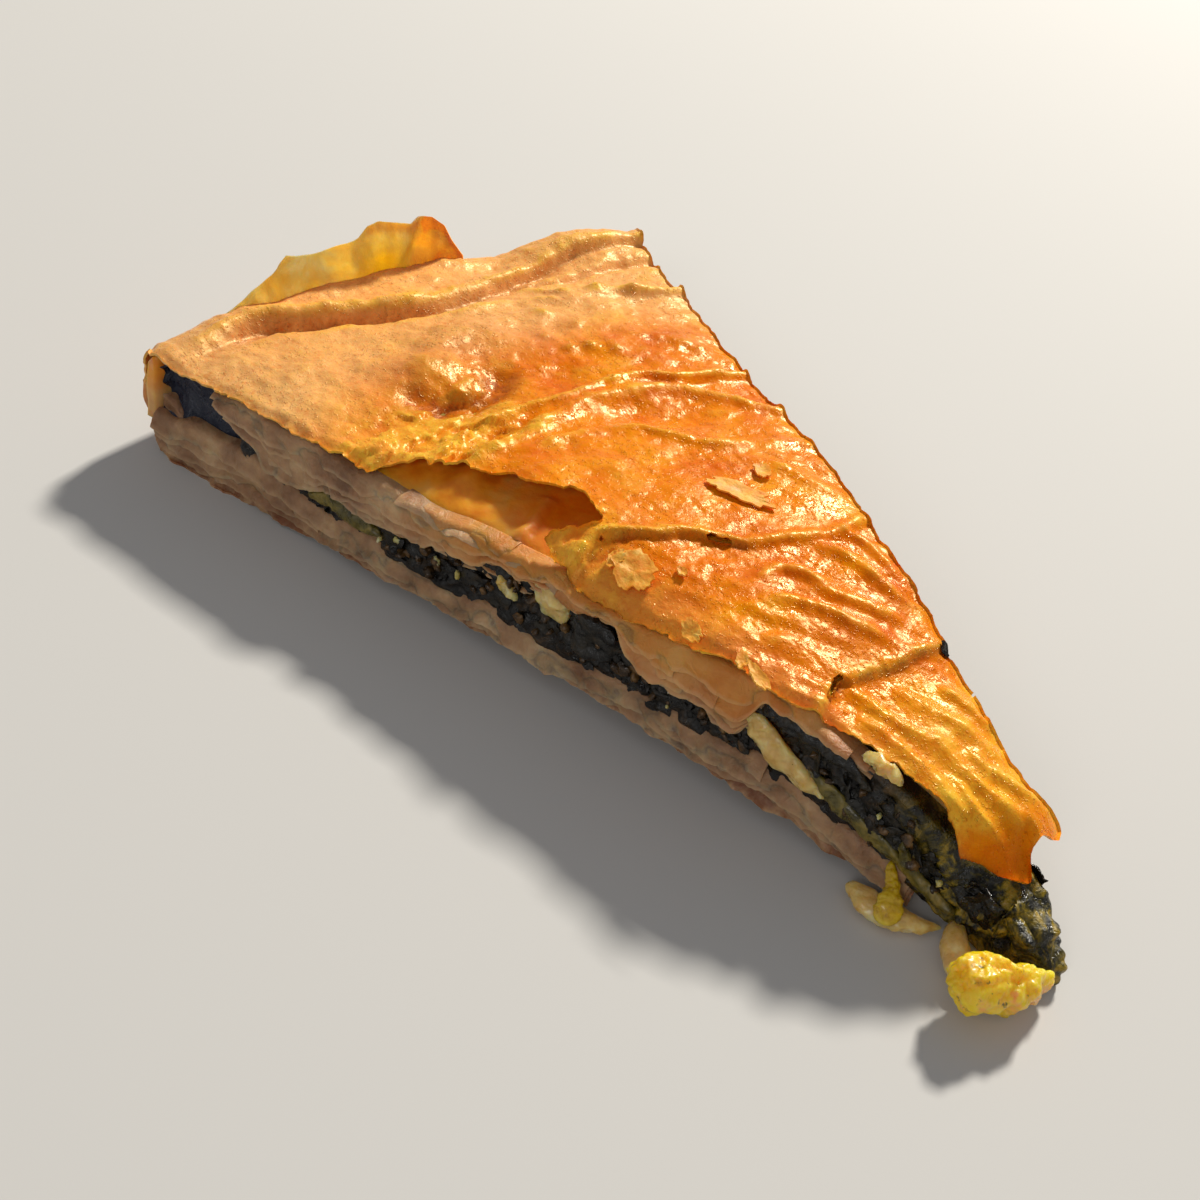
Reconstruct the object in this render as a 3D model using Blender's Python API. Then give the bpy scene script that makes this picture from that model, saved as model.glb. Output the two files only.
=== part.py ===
"""A slice of round spinach and phyllo pie, cut as a wedge, with its torn tip and the scraps beside it.

The pie's centre is the tip of the wedge.  +X runs from the rim to the tip, -Y is the left-hand cut
and +Z is up.  The slice stands on its rim and on the filling at its tip, and arches a little between.
Profiles are (radius from the tip, height) pairs in millimetres; everything else is in metres.
"""
import math

import bmesh
import bpy
import numpy as np
from mathutils import Vector, noise

MM = 0.001
PIE_RADIUS = 190 * MM
HALF_ANGLE = math.radians(17.4)
TIP_X = 95.4 * MM
LEFT_TIP_WIDTH = 3 * MM
RIGHT_TIP_WIDTH = 6 * MM
GAP = 0.4 * MM

# Heights along the middle of the slice.
UNDERSIDE = ((0, 0.4), (24, 2.4), (50, 4.4), (80, 5.0), (110, 4.2), (150, 1.8), (174, 0.0), (179, 0.0),
             (185, 1.0), (190, 4.5))
FILLING_BASE = ((0, 0.0), (12, 0.0), (22, 3.4), (30, 6.4), (42, 8.2), (60, 8.8), (80, 8.2), (98, 7.8),
                (112, 7.6), (136, 7.2), (160, 7.4), (180, 7.8), (183, 12.4), (192, 12.4))
FILLING_TOP = ((0, 3.5), (3, 6.0), (7, 9.0), (12, 12.0), (20, 15.0), (30, 18.6), (45, 21.8), (55, 21.8),
               (63, 19.0), (80, 21.0), (93, 20.5), (105, 18.5), (120, 16.0), (148, 15.5), (160, 18.0), (172, 17.5),
               (180, 16.6), (183, 12.4), (192, 12.4))
CRUST_TOP = ((0, 12.0), (12, 14.0), (20, 19.0), (30, 21.8), (48, 25.6), (65, 28.0), (90, 29.0), (108, 27.8),
             (122, 25.4), (145, 24.2), (160, 23.2), (172, 21.4), (181, 21.0), (186, 21.4), (190, 19.5))

# How far the top sinks where it meets each cut.
LEFT_SINK = ((0, 1.5), (20, 3.5), (30, 2.0), (45, 0.6), (60, 0.9), (73, 2.6), (84, 4.2), (98, 4.6), (111, 3.8),
             (125, 2.6), (145, 1.8), (165, 1.0), (183, 0.2), (190, 0.2))
RIGHT_SINK = ((0, 1.6), (165, 1.6), (183, 0.2), (190, 0.2))
SINK_START = 0.55

# Top crust: how far its torn end stands back from the tip, and the marks of its baking.
TORN_END = 14.5 * MM
TORN_SLANT = 3.5 * MM
SPUR_REACH = 4.0 * MM
GROOVE_RADIUS = 171.5 * MM
GROOVE_SWING = 9 * MM
GROOVE_DEPTH = 2.4 * MM
GROOVE_WIDTH = 3.2 * MM
FOLDS = ((121, -5, 1.5), (128, -2, 1.0))
FOLD_WIDTH = 3.0 * MM
BLISTER = (152 * MM, -0.35)
BLISTER_SPREAD = 11 * MM
BLISTER_HEIGHT = 2.2 * MM
TORN_POCKET = (107 * MM, -0.86)
POCKET_SPREAD = (11 * MM, 8 * MM)
POCKET_DEPTH = 3.2 * MM
RIPPLE_SPACING = 7.5 * MM
RIPPLE_HEIGHT = 0.7 * MM
RIPPLE_REACH = 74 * MM

# Outer rim of the pie: how far the side bulges, and the wall thickness that the filling leaves.
RIM_BULGE = 1.2 * MM
BASE_TIP = 24 * MM

# Rings of corners that all the layers share, so that their facing surfaces stay apart.
RING_STEP = 4 * MM
TIP_ZONE = 32 * MM
FILLING_RINGS = [ring * RING_STEP for ring in range(45)] + [178.5 * MM]
CRUST_RINGS = [ring * RING_STEP for ring in range(46)] + [183 * MM, 187 * MM, PIE_RADIUS]
ROWS = 12

# Phyllo flap standing on the rim: across fraction and height of its free edge above its foot.
FLAP_RADIUS = 188 * MM
FLAP_FOOT = 20.9 * MM
FLAP_THICKNESS = 1.0 * MM
FLAP_SPAN = (-0.80, 0.28)
FLAP_EDGE = ((0.0, 1.5), (0.18, 5.0), (0.34, 8.6), (0.5, 9.0), (0.62, 10.4), (0.86, 11.0), (0.94, 8.0), (1.0, 2.0))
FLAP_LEAN = 1.6 * MM

SURFACE_ROUGHNESS = 0.5 * MM
NOISE_SCALE = 90.0


def smooth_profile(points):
    """Return height(radius) in metres along a curve through the points that never overshoots."""
    knots, heights = (np.array(points, dtype=float) * MM).T
    secants = np.diff(heights) / np.diff(knots)
    slopes = np.zeros_like(heights)
    for index in range(1, len(knots) - 1):
        before, after = secants[index - 1], secants[index]
        if before * after > 0:
            slopes[index] = 2 * before * after / (before + after)

    def height(radius):
        radius = min(max(radius, knots[0]), knots[-1])
        index = int(min(np.searchsorted(knots, radius, side="right") - 1, len(knots) - 2))
        width = knots[index + 1] - knots[index]
        part = (radius - knots[index]) / width
        blend = part * part * (3 - 2 * part)
        level = heights[index] + (heights[index + 1] - heights[index]) * blend
        leave = slopes[index] * width * part * (1 - part) ** 2
        arrive = slopes[index + 1] * width * part * part * (part - 1)
        return level + leave + arrive

    return height


underside = smooth_profile(UNDERSIDE)
filling_base = smooth_profile(FILLING_BASE)
filling_top = smooth_profile(FILLING_TOP)
crust_top = smooth_profile(CRUST_TOP)
left_sink = smooth_profile(LEFT_SINK)
right_sink = smooth_profile(RIGHT_SINK)


def bump(distance, width):
    """A round hump of height 1 that fades out over a width."""
    return math.exp(-(distance / width) ** 2)


def wobble(point, amount=SURFACE_ROUGHNESS):
    """Uneven offset of baked dough at a point."""
    return amount * noise.noise(Vector(point) * NOISE_SCALE)


def slice_point(radius, across, height):
    """A point from its distance to the tip, its place between the cuts (-1 to 1) and its height."""
    angle = across * HALF_ANGLE
    half_width = radius * math.sin(HALF_ANGLE)
    tip_width = LEFT_TIP_WIDTH if across < 0 else RIGHT_TIP_WIDTH
    spread = math.hypot(half_width, tip_width) - half_width
    return Vector((TIP_X - radius * math.cos(angle), radius * math.sin(angle) + across * spread, height))


def sink(radius, across):
    """How far the layers above the base sag towards the nearer cut."""
    part = max(abs(across) - SINK_START, 0) / (1 - SINK_START)
    depth = left_sink(radius) if across < 0 else right_sink(radius)
    return depth * part * part


def top_height(radius, across):
    """Height of the browned top: profile, rim groove, folds, blister, torn pocket and ripples."""
    height = crust_top(radius) - sink(radius, across)
    groove = GROOVE_RADIUS + GROOVE_SWING * across * across
    height -= GROOVE_DEPTH * bump(radius - groove, GROOVE_WIDTH)
    for middle, swing, rise in FOLDS:
        line = (middle + swing * max(across, 0) ** 2 * 2) * MM
        height += rise * MM * bump(radius - line, FOLD_WIDTH)
    side = (across - BLISTER[1]) * radius * HALF_ANGLE
    height += BLISTER_HEIGHT * bump(math.hypot(radius - BLISTER[0], side), BLISTER_SPREAD)
    side = (across - TORN_POCKET[1]) * radius * HALF_ANGLE / POCKET_SPREAD[1]
    height -= POCKET_DEPTH * bump(math.hypot((radius - TORN_POCKET[0]) / POCKET_SPREAD[0], side), 1) ** 2
    fade = max(0.0, 1 - (radius / RIPPLE_REACH) ** 2)
    swirl = radius + across * across * RIPPLE_SPACING
    height += RIPPLE_HEIGHT * fade * math.sin(2 * math.pi * swirl / RIPPLE_SPACING)
    return height


def ring_radius(along, start, rings):
    """Radius of a ring of corners.  In the tip zone the rings close up towards a layer's start."""
    radius = rings[round(along * (len(rings) - 1))]
    if radius >= TIP_ZONE:
        return radius
    return start + (TIP_ZONE - start) * radius / TIP_ZONE


def closed_slab(name, columns, rows, wall_cuts, place, collection):
    """A grid drawn up into a closed slab, each corner put where place(u, v, w) says."""
    form = bmesh.new()
    bmesh.ops.create_grid(form, x_segments=columns, y_segments=rows, size=0.5)
    drawn = bmesh.ops.extrude_face_region(form, geom=form.faces[:])
    lifted = [item for item in drawn["geom"] if isinstance(item, bmesh.types.BMVert)]
    bmesh.ops.translate(form, verts=lifted, vec=(0, 0, 1))
    upright = [edge for edge in form.edges if abs(edge.verts[0].co.z - edge.verts[1].co.z) > 0.5]
    bmesh.ops.subdivide_edges(form, edges=upright, cuts=wall_cuts, use_grid_fill=True)
    for vert in form.verts:
        vert.co = place(vert.co.x + 0.5, vert.co.y * 2, vert.co.z)
    bmesh.ops.recalc_face_normals(form, faces=form.faces)
    return finish(name, form, collection)


def rounded_lump(name, segments, rings, place, collection):
    """A sphere whose every corner is put where place(direction) says."""
    form = bmesh.new()
    bmesh.ops.create_uvsphere(form, u_segments=segments, v_segments=rings, radius=1)
    for vert in form.verts:
        vert.co = place(vert.co.copy())
    bmesh.ops.recalc_face_normals(form, faces=form.faces)
    return finish(name, form, collection)


def finish(name, form, collection):
    """Turn a bmesh into a shaded object of the collection."""
    mesh = bpy.data.meshes.new(name)
    form.to_mesh(mesh)
    form.free()
    mesh.shade_smooth()
    mesh.set_sharp_from_angle(angle=math.radians(50))
    part = bpy.data.objects.new(name, mesh)
    collection.objects.link(part)
    return part


def dough(name, colour, roughness):
    """A plain baked or moist material."""
    material = bpy.data.materials.new(name)
    material.use_nodes = True
    shader = material.node_tree.nodes["Principled BSDF"]
    shader.inputs["Base Color"].default_value = (*colour, 1)
    shader.inputs["Roughness"].default_value = roughness
    shader.inputs["Metallic"].default_value = 0
    return material


def bottom_crust(collection):
    """Stacked sheets under the filling, turned up at the rim."""
    def place(along, across, up):
        start = BASE_TIP + across * 2 * MM
        radius = ring_radius(along, start, CRUST_RINGS)
        low = underside(radius)
        high = filling_base(radius) - GAP
        radius += RIM_BULGE * along ** 12 * math.sin(math.pi * up / 2)
        point = slice_point(radius, across, low + (high - low) * up)
        point.y += wobble(point) * abs(across) ** 8
        return point

    return closed_slab("bottom_crust", len(CRUST_RINGS) - 1, 6, 1, place, collection)


def spinach_filling(collection):
    """Cooked greens between the crusts, bare and spread out at the tip."""
    def place(along, across, up):
        start = (1 + 6 * up * up + 3 * across * across) * MM
        radius = ring_radius(along, start, FILLING_RINGS)
        low = filling_base(radius)
        high = filling_top(radius) - sink(radius, across)
        point = slice_point(radius, across, low + (high - low) * up)
        ruffle = wobble(point * 2, 1.2 * MM) * math.sin(math.pi * up)
        point.y += ruffle * abs(across) ** 8
        return point

    return closed_slab("spinach_filling", len(FILLING_RINGS) - 1, ROWS, 2, place, collection)


def top_crust(collection):
    """Browned sheets over the filling, down to the rim's side, with a torn end that droops."""
    def place(along, across, up):
        start = TORN_END - TORN_SLANT * across
        radius = ring_radius(along, start, CRUST_RINGS)
        low = filling_top(radius) - sink(radius, across) + GAP
        high = top_height(radius, across)
        height = low + (high - low) * up
        radius += RIM_BULGE * along ** 12 * math.sin(math.pi * (1 + up) / 2)
        point = slice_point(radius, across, height)
        corner = max(across, 0) ** 4 * (1 - along) ** 40
        point.y += SPUR_REACH * corner + wobble(point) * abs(across) ** 8
        return point

    return closed_slab("top_crust", len(CRUST_RINGS) - 1, ROWS, 2, place, collection)


def rim_flap(collection):
    """A sheet that curls up from the rim and stands free."""
    edge = smooth_profile(FLAP_EDGE)

    def place(along, through, up):
        across = FLAP_SPAN[0] + (FLAP_SPAN[1] - FLAP_SPAN[0]) * along
        rise = edge(along * MM) * up
        wave = 0.8 * MM * math.sin(5 * math.pi * along) * up
        radius = FLAP_RADIUS + FLAP_LEAN * up * up + wave + through * FLAP_THICKNESS / 2
        return slice_point(radius, across, FLAP_FOOT + rise)

    return closed_slab("rim_flap", 22, 1, 5, place, collection)


def bent_lump(name, middle, heading, half_sizes, bend, roughness, collection, segments=16, rings=9):
    """A flattened lump on the table, bent sideways like a crescent."""
    turn = math.radians(heading)
    forward = Vector((math.cos(turn), math.sin(turn), 0))
    sideways = Vector((-forward.y, forward.x, 0))

    def place(direction):
        length, width, height = half_sizes
        along = direction.x * length
        beside = direction.y * width + bend * (direction.x ** 2 - 0.5)
        rise = height * (1 + direction.z)
        point = Vector(middle) + forward * along + sideways * beside + Vector((0, 0, rise))
        uneven = wobble(point * 3, roughness) * (1 + direction.z) / 2
        return point + Vector((uneven, -uneven, uneven))

    return rounded_lump(name, segments, rings, place, collection)


def scraps(collection):
    """The pieces that fell from the torn tip."""
    crust = bent_lump("crust_scrap", (TIP_X - 3.7 * MM, -9.5 * MM, 0.2 * MM), 68,
                      (8.0 * MM, 2.7 * MM, 3.2 * MM), 1.2 * MM, 1.0 * MM, collection, 20, 10)
    petal = bent_lump("onion_petal", (TIP_X - 12.4 * MM, -8.9 * MM, 0.1 * MM), -40,
                      (4.3 * MM, 1.9 * MM, 2.1 * MM), 0.3 * MM, 0.2 * MM, collection)
    strip = bent_lump("onion_strip", (TIP_X - 22.6 * MM, -11.8 * MM, 0.1 * MM), 29,
                      (6.9 * MM, 1.8 * MM, 1.2 * MM), 2.0 * MM, 0.3 * MM, collection)
    return crust, petal, strip


def leek_strand(collection):
    """A thin stalk that hangs from the cut to the scraps."""
    route = ((-25.6, -9.8, 6.6), (-24.9, -10.4, 5.6), (-24.2, -11.0, 4.6), (-23.6, -11.6, 3.6))
    curve = bpy.data.curves.new("leek_strand", "CURVE")
    curve.dimensions = "3D"
    curve.bevel_depth = 0.8 * MM
    curve.bevel_resolution = 2
    curve.use_fill_caps = True
    spline = curve.splines.new("POLY")
    spline.points.add(len(route) - 1)
    for point, (x, y, z) in zip(spline.points, route):
        point.co = (TIP_X + x * MM, y * MM, z * MM, 1)
    strand = bpy.data.objects.new("leek_strand", curve)
    collection.objects.link(strand)
    return strand


def clear_scene():
    """Start from an empty file."""
    for item in list(bpy.data.objects):
        bpy.data.objects.remove(item, do_unlink=True)


def main():
    clear_scene()
    collection = bpy.data.collections.new("spinach_pie_slice")
    bpy.context.scene.collection.children.link(collection)
    golden = dough("golden_crust", (0.80, 0.36, 0.06), 0.4)
    pale = dough("pale_crust", (0.62, 0.40, 0.20), 0.6)
    green = dough("cooked_spinach", (0.03, 0.035, 0.015), 0.35)
    onion = dough("onion", (0.72, 0.56, 0.25), 0.4)
    leek = dough("leek", (0.75, 0.52, 0.05), 0.4)
    egg = dough("egg_crust", (0.80, 0.50, 0.05), 0.5)
    crust, petal, strip = scraps(collection)
    finishes = (
        (bottom_crust(collection), pale),
        (spinach_filling(collection), green),
        (top_crust(collection), golden),
        (rim_flap(collection), golden),
        (crust, egg),
        (petal, onion),
        (strip, onion),
        (leek_strand(collection), leek),
    )
    for part, material in finishes:
        part.data.materials.append(material)


main()
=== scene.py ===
"""Looks of a slice of spinach and phyllo pie: crisp golden skin, ruffled sheets and wet filling."""

import itertools
import math

import bmesh
import bpy
import numpy as np
from mathutils import Matrix, Vector


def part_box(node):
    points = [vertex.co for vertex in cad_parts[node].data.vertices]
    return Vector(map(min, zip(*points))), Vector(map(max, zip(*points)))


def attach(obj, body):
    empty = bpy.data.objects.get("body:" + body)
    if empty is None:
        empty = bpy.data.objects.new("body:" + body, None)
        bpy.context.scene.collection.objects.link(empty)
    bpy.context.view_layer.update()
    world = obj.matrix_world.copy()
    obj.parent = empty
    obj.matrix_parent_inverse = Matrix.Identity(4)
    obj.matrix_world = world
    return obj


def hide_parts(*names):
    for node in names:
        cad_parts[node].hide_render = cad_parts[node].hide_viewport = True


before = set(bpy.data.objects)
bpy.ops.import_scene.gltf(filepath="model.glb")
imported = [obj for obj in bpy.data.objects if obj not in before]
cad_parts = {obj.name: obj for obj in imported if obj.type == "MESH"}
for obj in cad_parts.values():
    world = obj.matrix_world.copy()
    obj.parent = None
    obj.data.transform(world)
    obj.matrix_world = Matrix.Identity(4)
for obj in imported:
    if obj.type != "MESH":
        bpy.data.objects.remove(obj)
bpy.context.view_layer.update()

# Lengths in the shape code are in millimetres, like the profiles; MM turns them into metres.
MM = 0.001
PIE_RADIUS = 190.0
HALF_ANGLE = math.radians(17.4)
RIM_BULGE = 1.2
TIP_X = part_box("bottom_crust")[0].x / MM + PIE_RADIUS + RIM_BULGE
LEFT_TIP_WIDTH = 3.0
RIGHT_TIP_WIDTH = 6.0
BLUNT_TIP = 1.5

# (radius, height) profiles along the middle of the slice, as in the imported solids.
UNDERSIDE = ((0, 0.4), (24, 2.4), (50, 4.4), (80, 5.0), (110, 4.2), (150, 1.8), (174, 0.0), (179, 0.0),
             (185, 1.0), (190, 4.5))
FILLING_BASE = ((0, 0.0), (12, 0.0), (22, 3.4), (30, 6.4), (42, 8.2), (60, 8.8), (80, 8.2), (98, 7.8),
                (112, 7.6), (136, 7.2), (160, 7.4), (180, 7.8), (183, 12.4), (192, 12.4))
FILLING_TOP = ((0, 3.5), (3, 6.0), (7, 9.0), (12, 12.0), (20, 15.0), (30, 18.6), (45, 21.8), (55, 21.8),
               (63, 19.0), (80, 21.0), (93, 20.5), (105, 18.5), (120, 16.0), (148, 15.5), (160, 18.0),
               (172, 17.5), (180, 16.6), (183, 12.4), (192, 12.4))
CRUST_TOP = ((0, 12.0), (12, 14.0), (20, 19.0), (30, 21.8), (48, 25.6), (65, 28.0), (90, 29.0), (108, 27.8),
             (122, 25.4), (145, 24.2), (160, 23.2), (172, 21.4), (181, 21.0), (186, 21.4), (190, 19.5))
LEFT_SINK = ((0, 1.5), (20, 3.5), (30, 2.0), (45, 0.6), (60, 0.9), (73, 2.6), (84, 4.2), (98, 4.6),
             (111, 3.8), (125, 2.6), (145, 1.8), (165, 1.0), (183, 0.2), (190, 0.2))
RIGHT_SINK = ((0, 1.6), (165, 1.6), (183, 0.2), (190, 0.2))
SINK_START = 0.55
# Along the left cut: the hem of the sheets that hang over the filling, and the top of the bottom sheets.
LEFT_HEM = ((16, 12), (22, 14), (30, 18.7), (37, 21.0), (42, 22), (50, 22.5), (54.5, 22.5), (56.5, 17),
            (59, 13.8), (62, 14.2), (65, 15.7), (70, 15.1), (74.4, 15.5), (78.7, 16.4), (80.7, 18.9),
            (83.5, 21.6), (86, 21.2), (92.8, 21.2), (96.5, 20.9), (100, 18.8), (103, 18.2), (107, 18.6),
            (110, 16.1), (115, 16), (121, 14.4), (128, 13), (133, 12.8), (141, 13.7), (146, 11.9),
            (150, 11), (156, 10.8), (162, 15.6), (168, 16.4), (172, 19), (177, 19.8), (181, 20.5),
            (187, 16))
LEFT_BASE = ((20, 3.8), (26, 6), (31, 7), (39, 8.8), (45.7, 11.2), (50, 12.1), (54, 12.1), (59, 9.7),
             (65, 10.1), (71, 10.5), (78, 10.1), (84, 9.3), (91.5, 7.9), (101, 8.1), (106, 9.6), (112, 8),
             (119.5, 7.5), (128, 8), (136, 8.9), (143, 8.2), (150, 9.5), (156, 10.5), (161, 11.5),
             (166, 11), (172, 9.8), (177.6, 10.0), (184, 8.1), (188, 9))


# ---------------------------------------------------------------- numbers and noise
def smooth_profile(points):
    """Return height(radius) for arrays, along a curve through the points that never overshoots."""
    knots, heights = np.array(points, dtype=float).T
    widths = np.diff(knots)
    secants = np.diff(heights) / widths
    slopes = np.zeros_like(heights)
    before, after = secants[:-1], secants[1:]
    same_way = before * after > 0
    total = np.where(same_way, before + after, 1)
    slopes[1:-1] = np.where(same_way, 2 * before * after / total, 0)

    def height(radius):
        radius = np.clip(radius, knots[0], knots[-1])
        index = np.clip(np.searchsorted(knots, radius, side="right") - 1, 0, len(widths) - 1)
        width = widths[index]
        part = (radius - knots[index]) / width
        blend = part * part * (3 - 2 * part)
        level = heights[index] + (heights[index + 1] - heights[index]) * blend
        leave = slopes[index] * width * part * (1 - part) ** 2
        arrive = slopes[index + 1] * width * part * part * (part - 1)
        return level + leave + arrive

    return height


underside = smooth_profile(UNDERSIDE)
filling_base = smooth_profile(FILLING_BASE)
filling_top = smooth_profile(FILLING_TOP)
crust_top = smooth_profile(CRUST_TOP)
left_sink = smooth_profile(LEFT_SINK)
right_sink = smooth_profile(RIGHT_SINK)
left_hem = smooth_profile(LEFT_HEM)
left_base = smooth_profile(LEFT_BASE)


def ramp(value, low, high):
    """0 below low, 1 above high and a smooth step between."""
    part = np.clip((value - low) / (high - low), 0, 1)
    return part * part * (3 - 2 * part)


def bump(distance, width):
    """A round hump of height 1 that fades out over a width."""
    return np.exp(-(distance / width) ** 2)


def lattice_value(cell, seed):
    """A repeatable random number between -1 and 1 for each whole-number point."""
    mix = cell[..., 0] * 73856093 ^ cell[..., 1] * 19349663 ^ cell[..., 2] * 83492791 ^ (seed * 2654435761)
    mix = (mix ^ (mix >> 13)) * 1274126177 & 0xFFFFFFFF
    mix = (mix ^ (mix >> 16)) * 668265263 & 0xFFFFFFFF
    return (mix & 0xFFFFFF) / 0x7FFFFF - 1.0


def noise_at(points, size, seed=1):
    """Smooth noise of about -0.7 to 0.7 with lumps of a size in millimetres."""
    points = points / size + seed * 17.31
    cell = np.floor(points).astype(np.int64)
    part = points - cell
    blend = part ** 3 * (part * (part * 6 - 15) + 10)
    total = np.zeros(points.shape[:-1])
    for corner in itertools.product((0, 1), repeat=3):
        node = cell + np.array(corner)
        offset = part - np.array(corner)
        slope = sum(lattice_value(node, seed * 3 + axis) * offset[..., axis] for axis in range(3))
        weight = np.prod(np.where(np.array(corner) == 1, blend, 1 - blend), axis=-1)
        total += slope * weight
    return total * 1.2


def rough(points, size, octaves, seed=1, gain=0.5):
    """Layered noise: each octave is half the size of the one before and weaker by gain."""
    total = np.zeros(points.shape[:-1])
    strength = 1.0
    for octave in range(octaves):
        total += strength * noise_at(points, size / 2 ** octave, seed + octave * 5)
        strength *= gain
    return total


def flat_points(first, second=0.0, third=0.0):
    """Stack coordinate arrays into points."""
    return np.stack(np.broadcast_arrays(first, second, third), axis=-1).astype(float)


def full_turn(count):
    """Angles spaced evenly round a circle."""
    return np.linspace(0, 2 * math.pi, count, endpoint=False)


def turned(first, second, angle):
    """A pair of coordinates turned by an angle."""
    cos, sin = math.cos(angle), math.sin(angle)
    return first * cos - second * sin, first * sin + second * cos


def spread_along(values, along):
    """Values spaced evenly over a length, read at places along it (0 to 1)."""
    return np.interp(along, np.linspace(0, 1, len(values)), values)


def smoothed(values, passes):
    """A run of values with its corners rounded and its ends kept."""
    for _ in range(passes):
        values[1:-1] = (values[:-2] + values[1:-1] + values[2:]) / 3
    return values


# ---------------------------------------------------------------- the slice's own coordinates
def slice_xy(radius, across):
    """X and Y of a place given by its distance to the tip and its place between the cuts (-1 to 1)."""
    angle = across * HALF_ANGLE
    half_width = radius * math.sin(HALF_ANGLE)
    tip_width = np.where(across < 0, LEFT_TIP_WIDTH, RIGHT_TIP_WIDTH)
    spread = np.hypot(half_width, tip_width) - half_width
    return TIP_X - radius * np.cos(angle), radius * np.sin(angle) + across * spread


def from_tip(radius, across):
    """Distance from the tip along the middle, and distance out from the middle."""
    return radius * np.cos(across * HALF_ANGLE), radius * np.sin(across * HALF_ANGLE)


def half_width_at(radius):
    """Half the slice's width at a distance from the tip, whose end is blunt."""
    return radius * math.sin(HALF_ANGLE) + BLUNT_TIP


def sink(radius, across):
    """How far the layers above the base sag towards the nearer cut."""
    part = np.maximum(np.abs(across) - SINK_START, 0) / (1 - SINK_START)
    depth = np.where(across < 0, left_sink(radius), right_sink(radius))
    return depth * part * part


# ---------------------------------------------------------------- meshes
# A place beside a torn edge moves at most this share of the grid's spacing; edges sharper than the angle
# look crisp.
MOST_SNAP = 0.8
CRISP_ANGLE = math.radians(55)


def mesh_object(name, points, faces, attributes=None):
    """A smooth mesh object from points in millimetres, with optional named values per point."""
    mesh = bpy.data.meshes.new(name)
    faces = np.asarray(faces, dtype=np.int32)
    mesh.vertices.add(len(points))
    mesh.vertices.foreach_set("co", (np.asarray(points) * MM).astype(np.float32).ravel())
    mesh.loops.add(faces.size)
    mesh.loops.foreach_set("vertex_index", faces.ravel())
    mesh.polygons.add(len(faces))
    mesh.polygons.foreach_set("loop_start", np.arange(0, faces.size, faces.shape[1], dtype=np.int32))
    mesh.update(calc_edges=True)
    mesh.validate()
    for key, values in (attributes or {}).items():
        layer = mesh.attributes.new(key, "FLOAT", "POINT")
        layer.data.foreach_set("value", np.asarray(values, dtype=np.float32).ravel())
    mesh.shade_smooth()
    piece = bpy.data.objects.new(name, mesh)
    bpy.context.scene.collection.objects.link(piece)
    return piece


def quads_between(index):
    """Quads between the neighbours in a grid of point numbers."""
    quads = np.stack([index[:-1, :-1], index[1:, :-1], index[1:, 1:], index[:-1, 1:]], axis=-1)
    return quads.reshape(-1, 4)


def grid_faces(rows, columns, kept=None):
    """Quads of a grid of points, where kept says which of them stay."""
    quads = quads_between(np.arange(rows * columns).reshape(rows, columns))
    return quads if kept is None else quads[kept.ravel()]


def tube_faces(rings, places):
    """Quads of a tube of points: each ring's last place joins its first."""
    index = np.arange(rings * places).reshape(rings, places)
    return quads_between(np.concatenate([index, index[:, :1]], axis=1))


def snap_to_edge(field, spans):
    """Steps that put the places beside a torn edge onto it, and the quads that stay (field above zero)."""
    centre = (field[:-1, :-1] + field[1:, :-1] + field[1:, 1:] + field[:-1, 1:]) / 4
    kept = centre > 0
    near = np.zeros(field.shape, dtype=int)
    total = np.zeros(field.shape, dtype=int)
    for row, column in itertools.product((0, 1), repeat=2):
        window = (slice(row, row + kept.shape[0]), slice(column, column + kept.shape[1]))
        near[window] += kept
        total[window] += 1
    border = (near > 0) & (near < total)
    slope_first, slope_second = np.gradient(field)
    slope_first, slope_second = slope_first / spans[0], slope_second / spans[1]
    steep = np.maximum(slope_first ** 2 + slope_second ** 2, 1e-4)
    move = np.where(border, np.clip(-field / steep, -2, 2), 0)
    limits = [MOST_SNAP * span for span in spans]
    step_first = np.clip(move * slope_first, -limits[0], limits[0])
    step_second = np.clip(move * slope_second, -limits[1], limits[1])
    return step_first, step_second, kept


def tidy_mesh(piece):
    """Drop points that no face uses."""
    form = bmesh.new()
    form.from_mesh(piece.data)
    loose = [vert for vert in form.verts if not vert.link_faces]
    bmesh.ops.delete(form, geom=loose, context="VERTS")
    form.to_mesh(piece.data)
    form.free()
    return piece


def thicken(piece, thickness, rim_only=False, offset=-1.0):
    """Give a sheet its thickness, in millimetres."""
    solid = piece.modifiers.new("thickness", "SOLIDIFY")
    solid.thickness = thickness * MM
    solid.offset = offset
    solid.use_rim = True
    solid.use_rim_only = rim_only
    split = piece.modifiers.new("crisp_edges", "EDGE_SPLIT")
    split.split_angle = CRISP_ANGLE
    split.use_edge_sharp = False
    return piece


def dress(piece, material, node=None):
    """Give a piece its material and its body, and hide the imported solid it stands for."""
    piece.data.materials.append(material)
    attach(piece, "root")
    if node:
        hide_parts(node)
    return piece


# ---------------------------------------------------------------- materials
def new_material(name):
    """A material with its node tree and its Principled shader."""
    material = bpy.data.materials.new(name)
    material.use_nodes = True
    tree = material.node_tree
    return material, tree, tree.nodes["Principled BSDF"]


def add(tree, kind, inputs=None, **settings):
    """Add a node, set its properties and wire or set its inputs."""
    node = tree.nodes.new(kind)
    for key, value in settings.items():
        setattr(node, key, value)
    for key, value in (inputs or {}).items():
        if isinstance(value, bpy.types.NodeSocket):
            tree.links.new(value, node.inputs[key])
        else:
            node.inputs[key].default_value = value
    return node


def place_node(tree):
    """Object coordinates in metres."""
    return add(tree, "ShaderNodeTexCoord").outputs["Object"]


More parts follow.
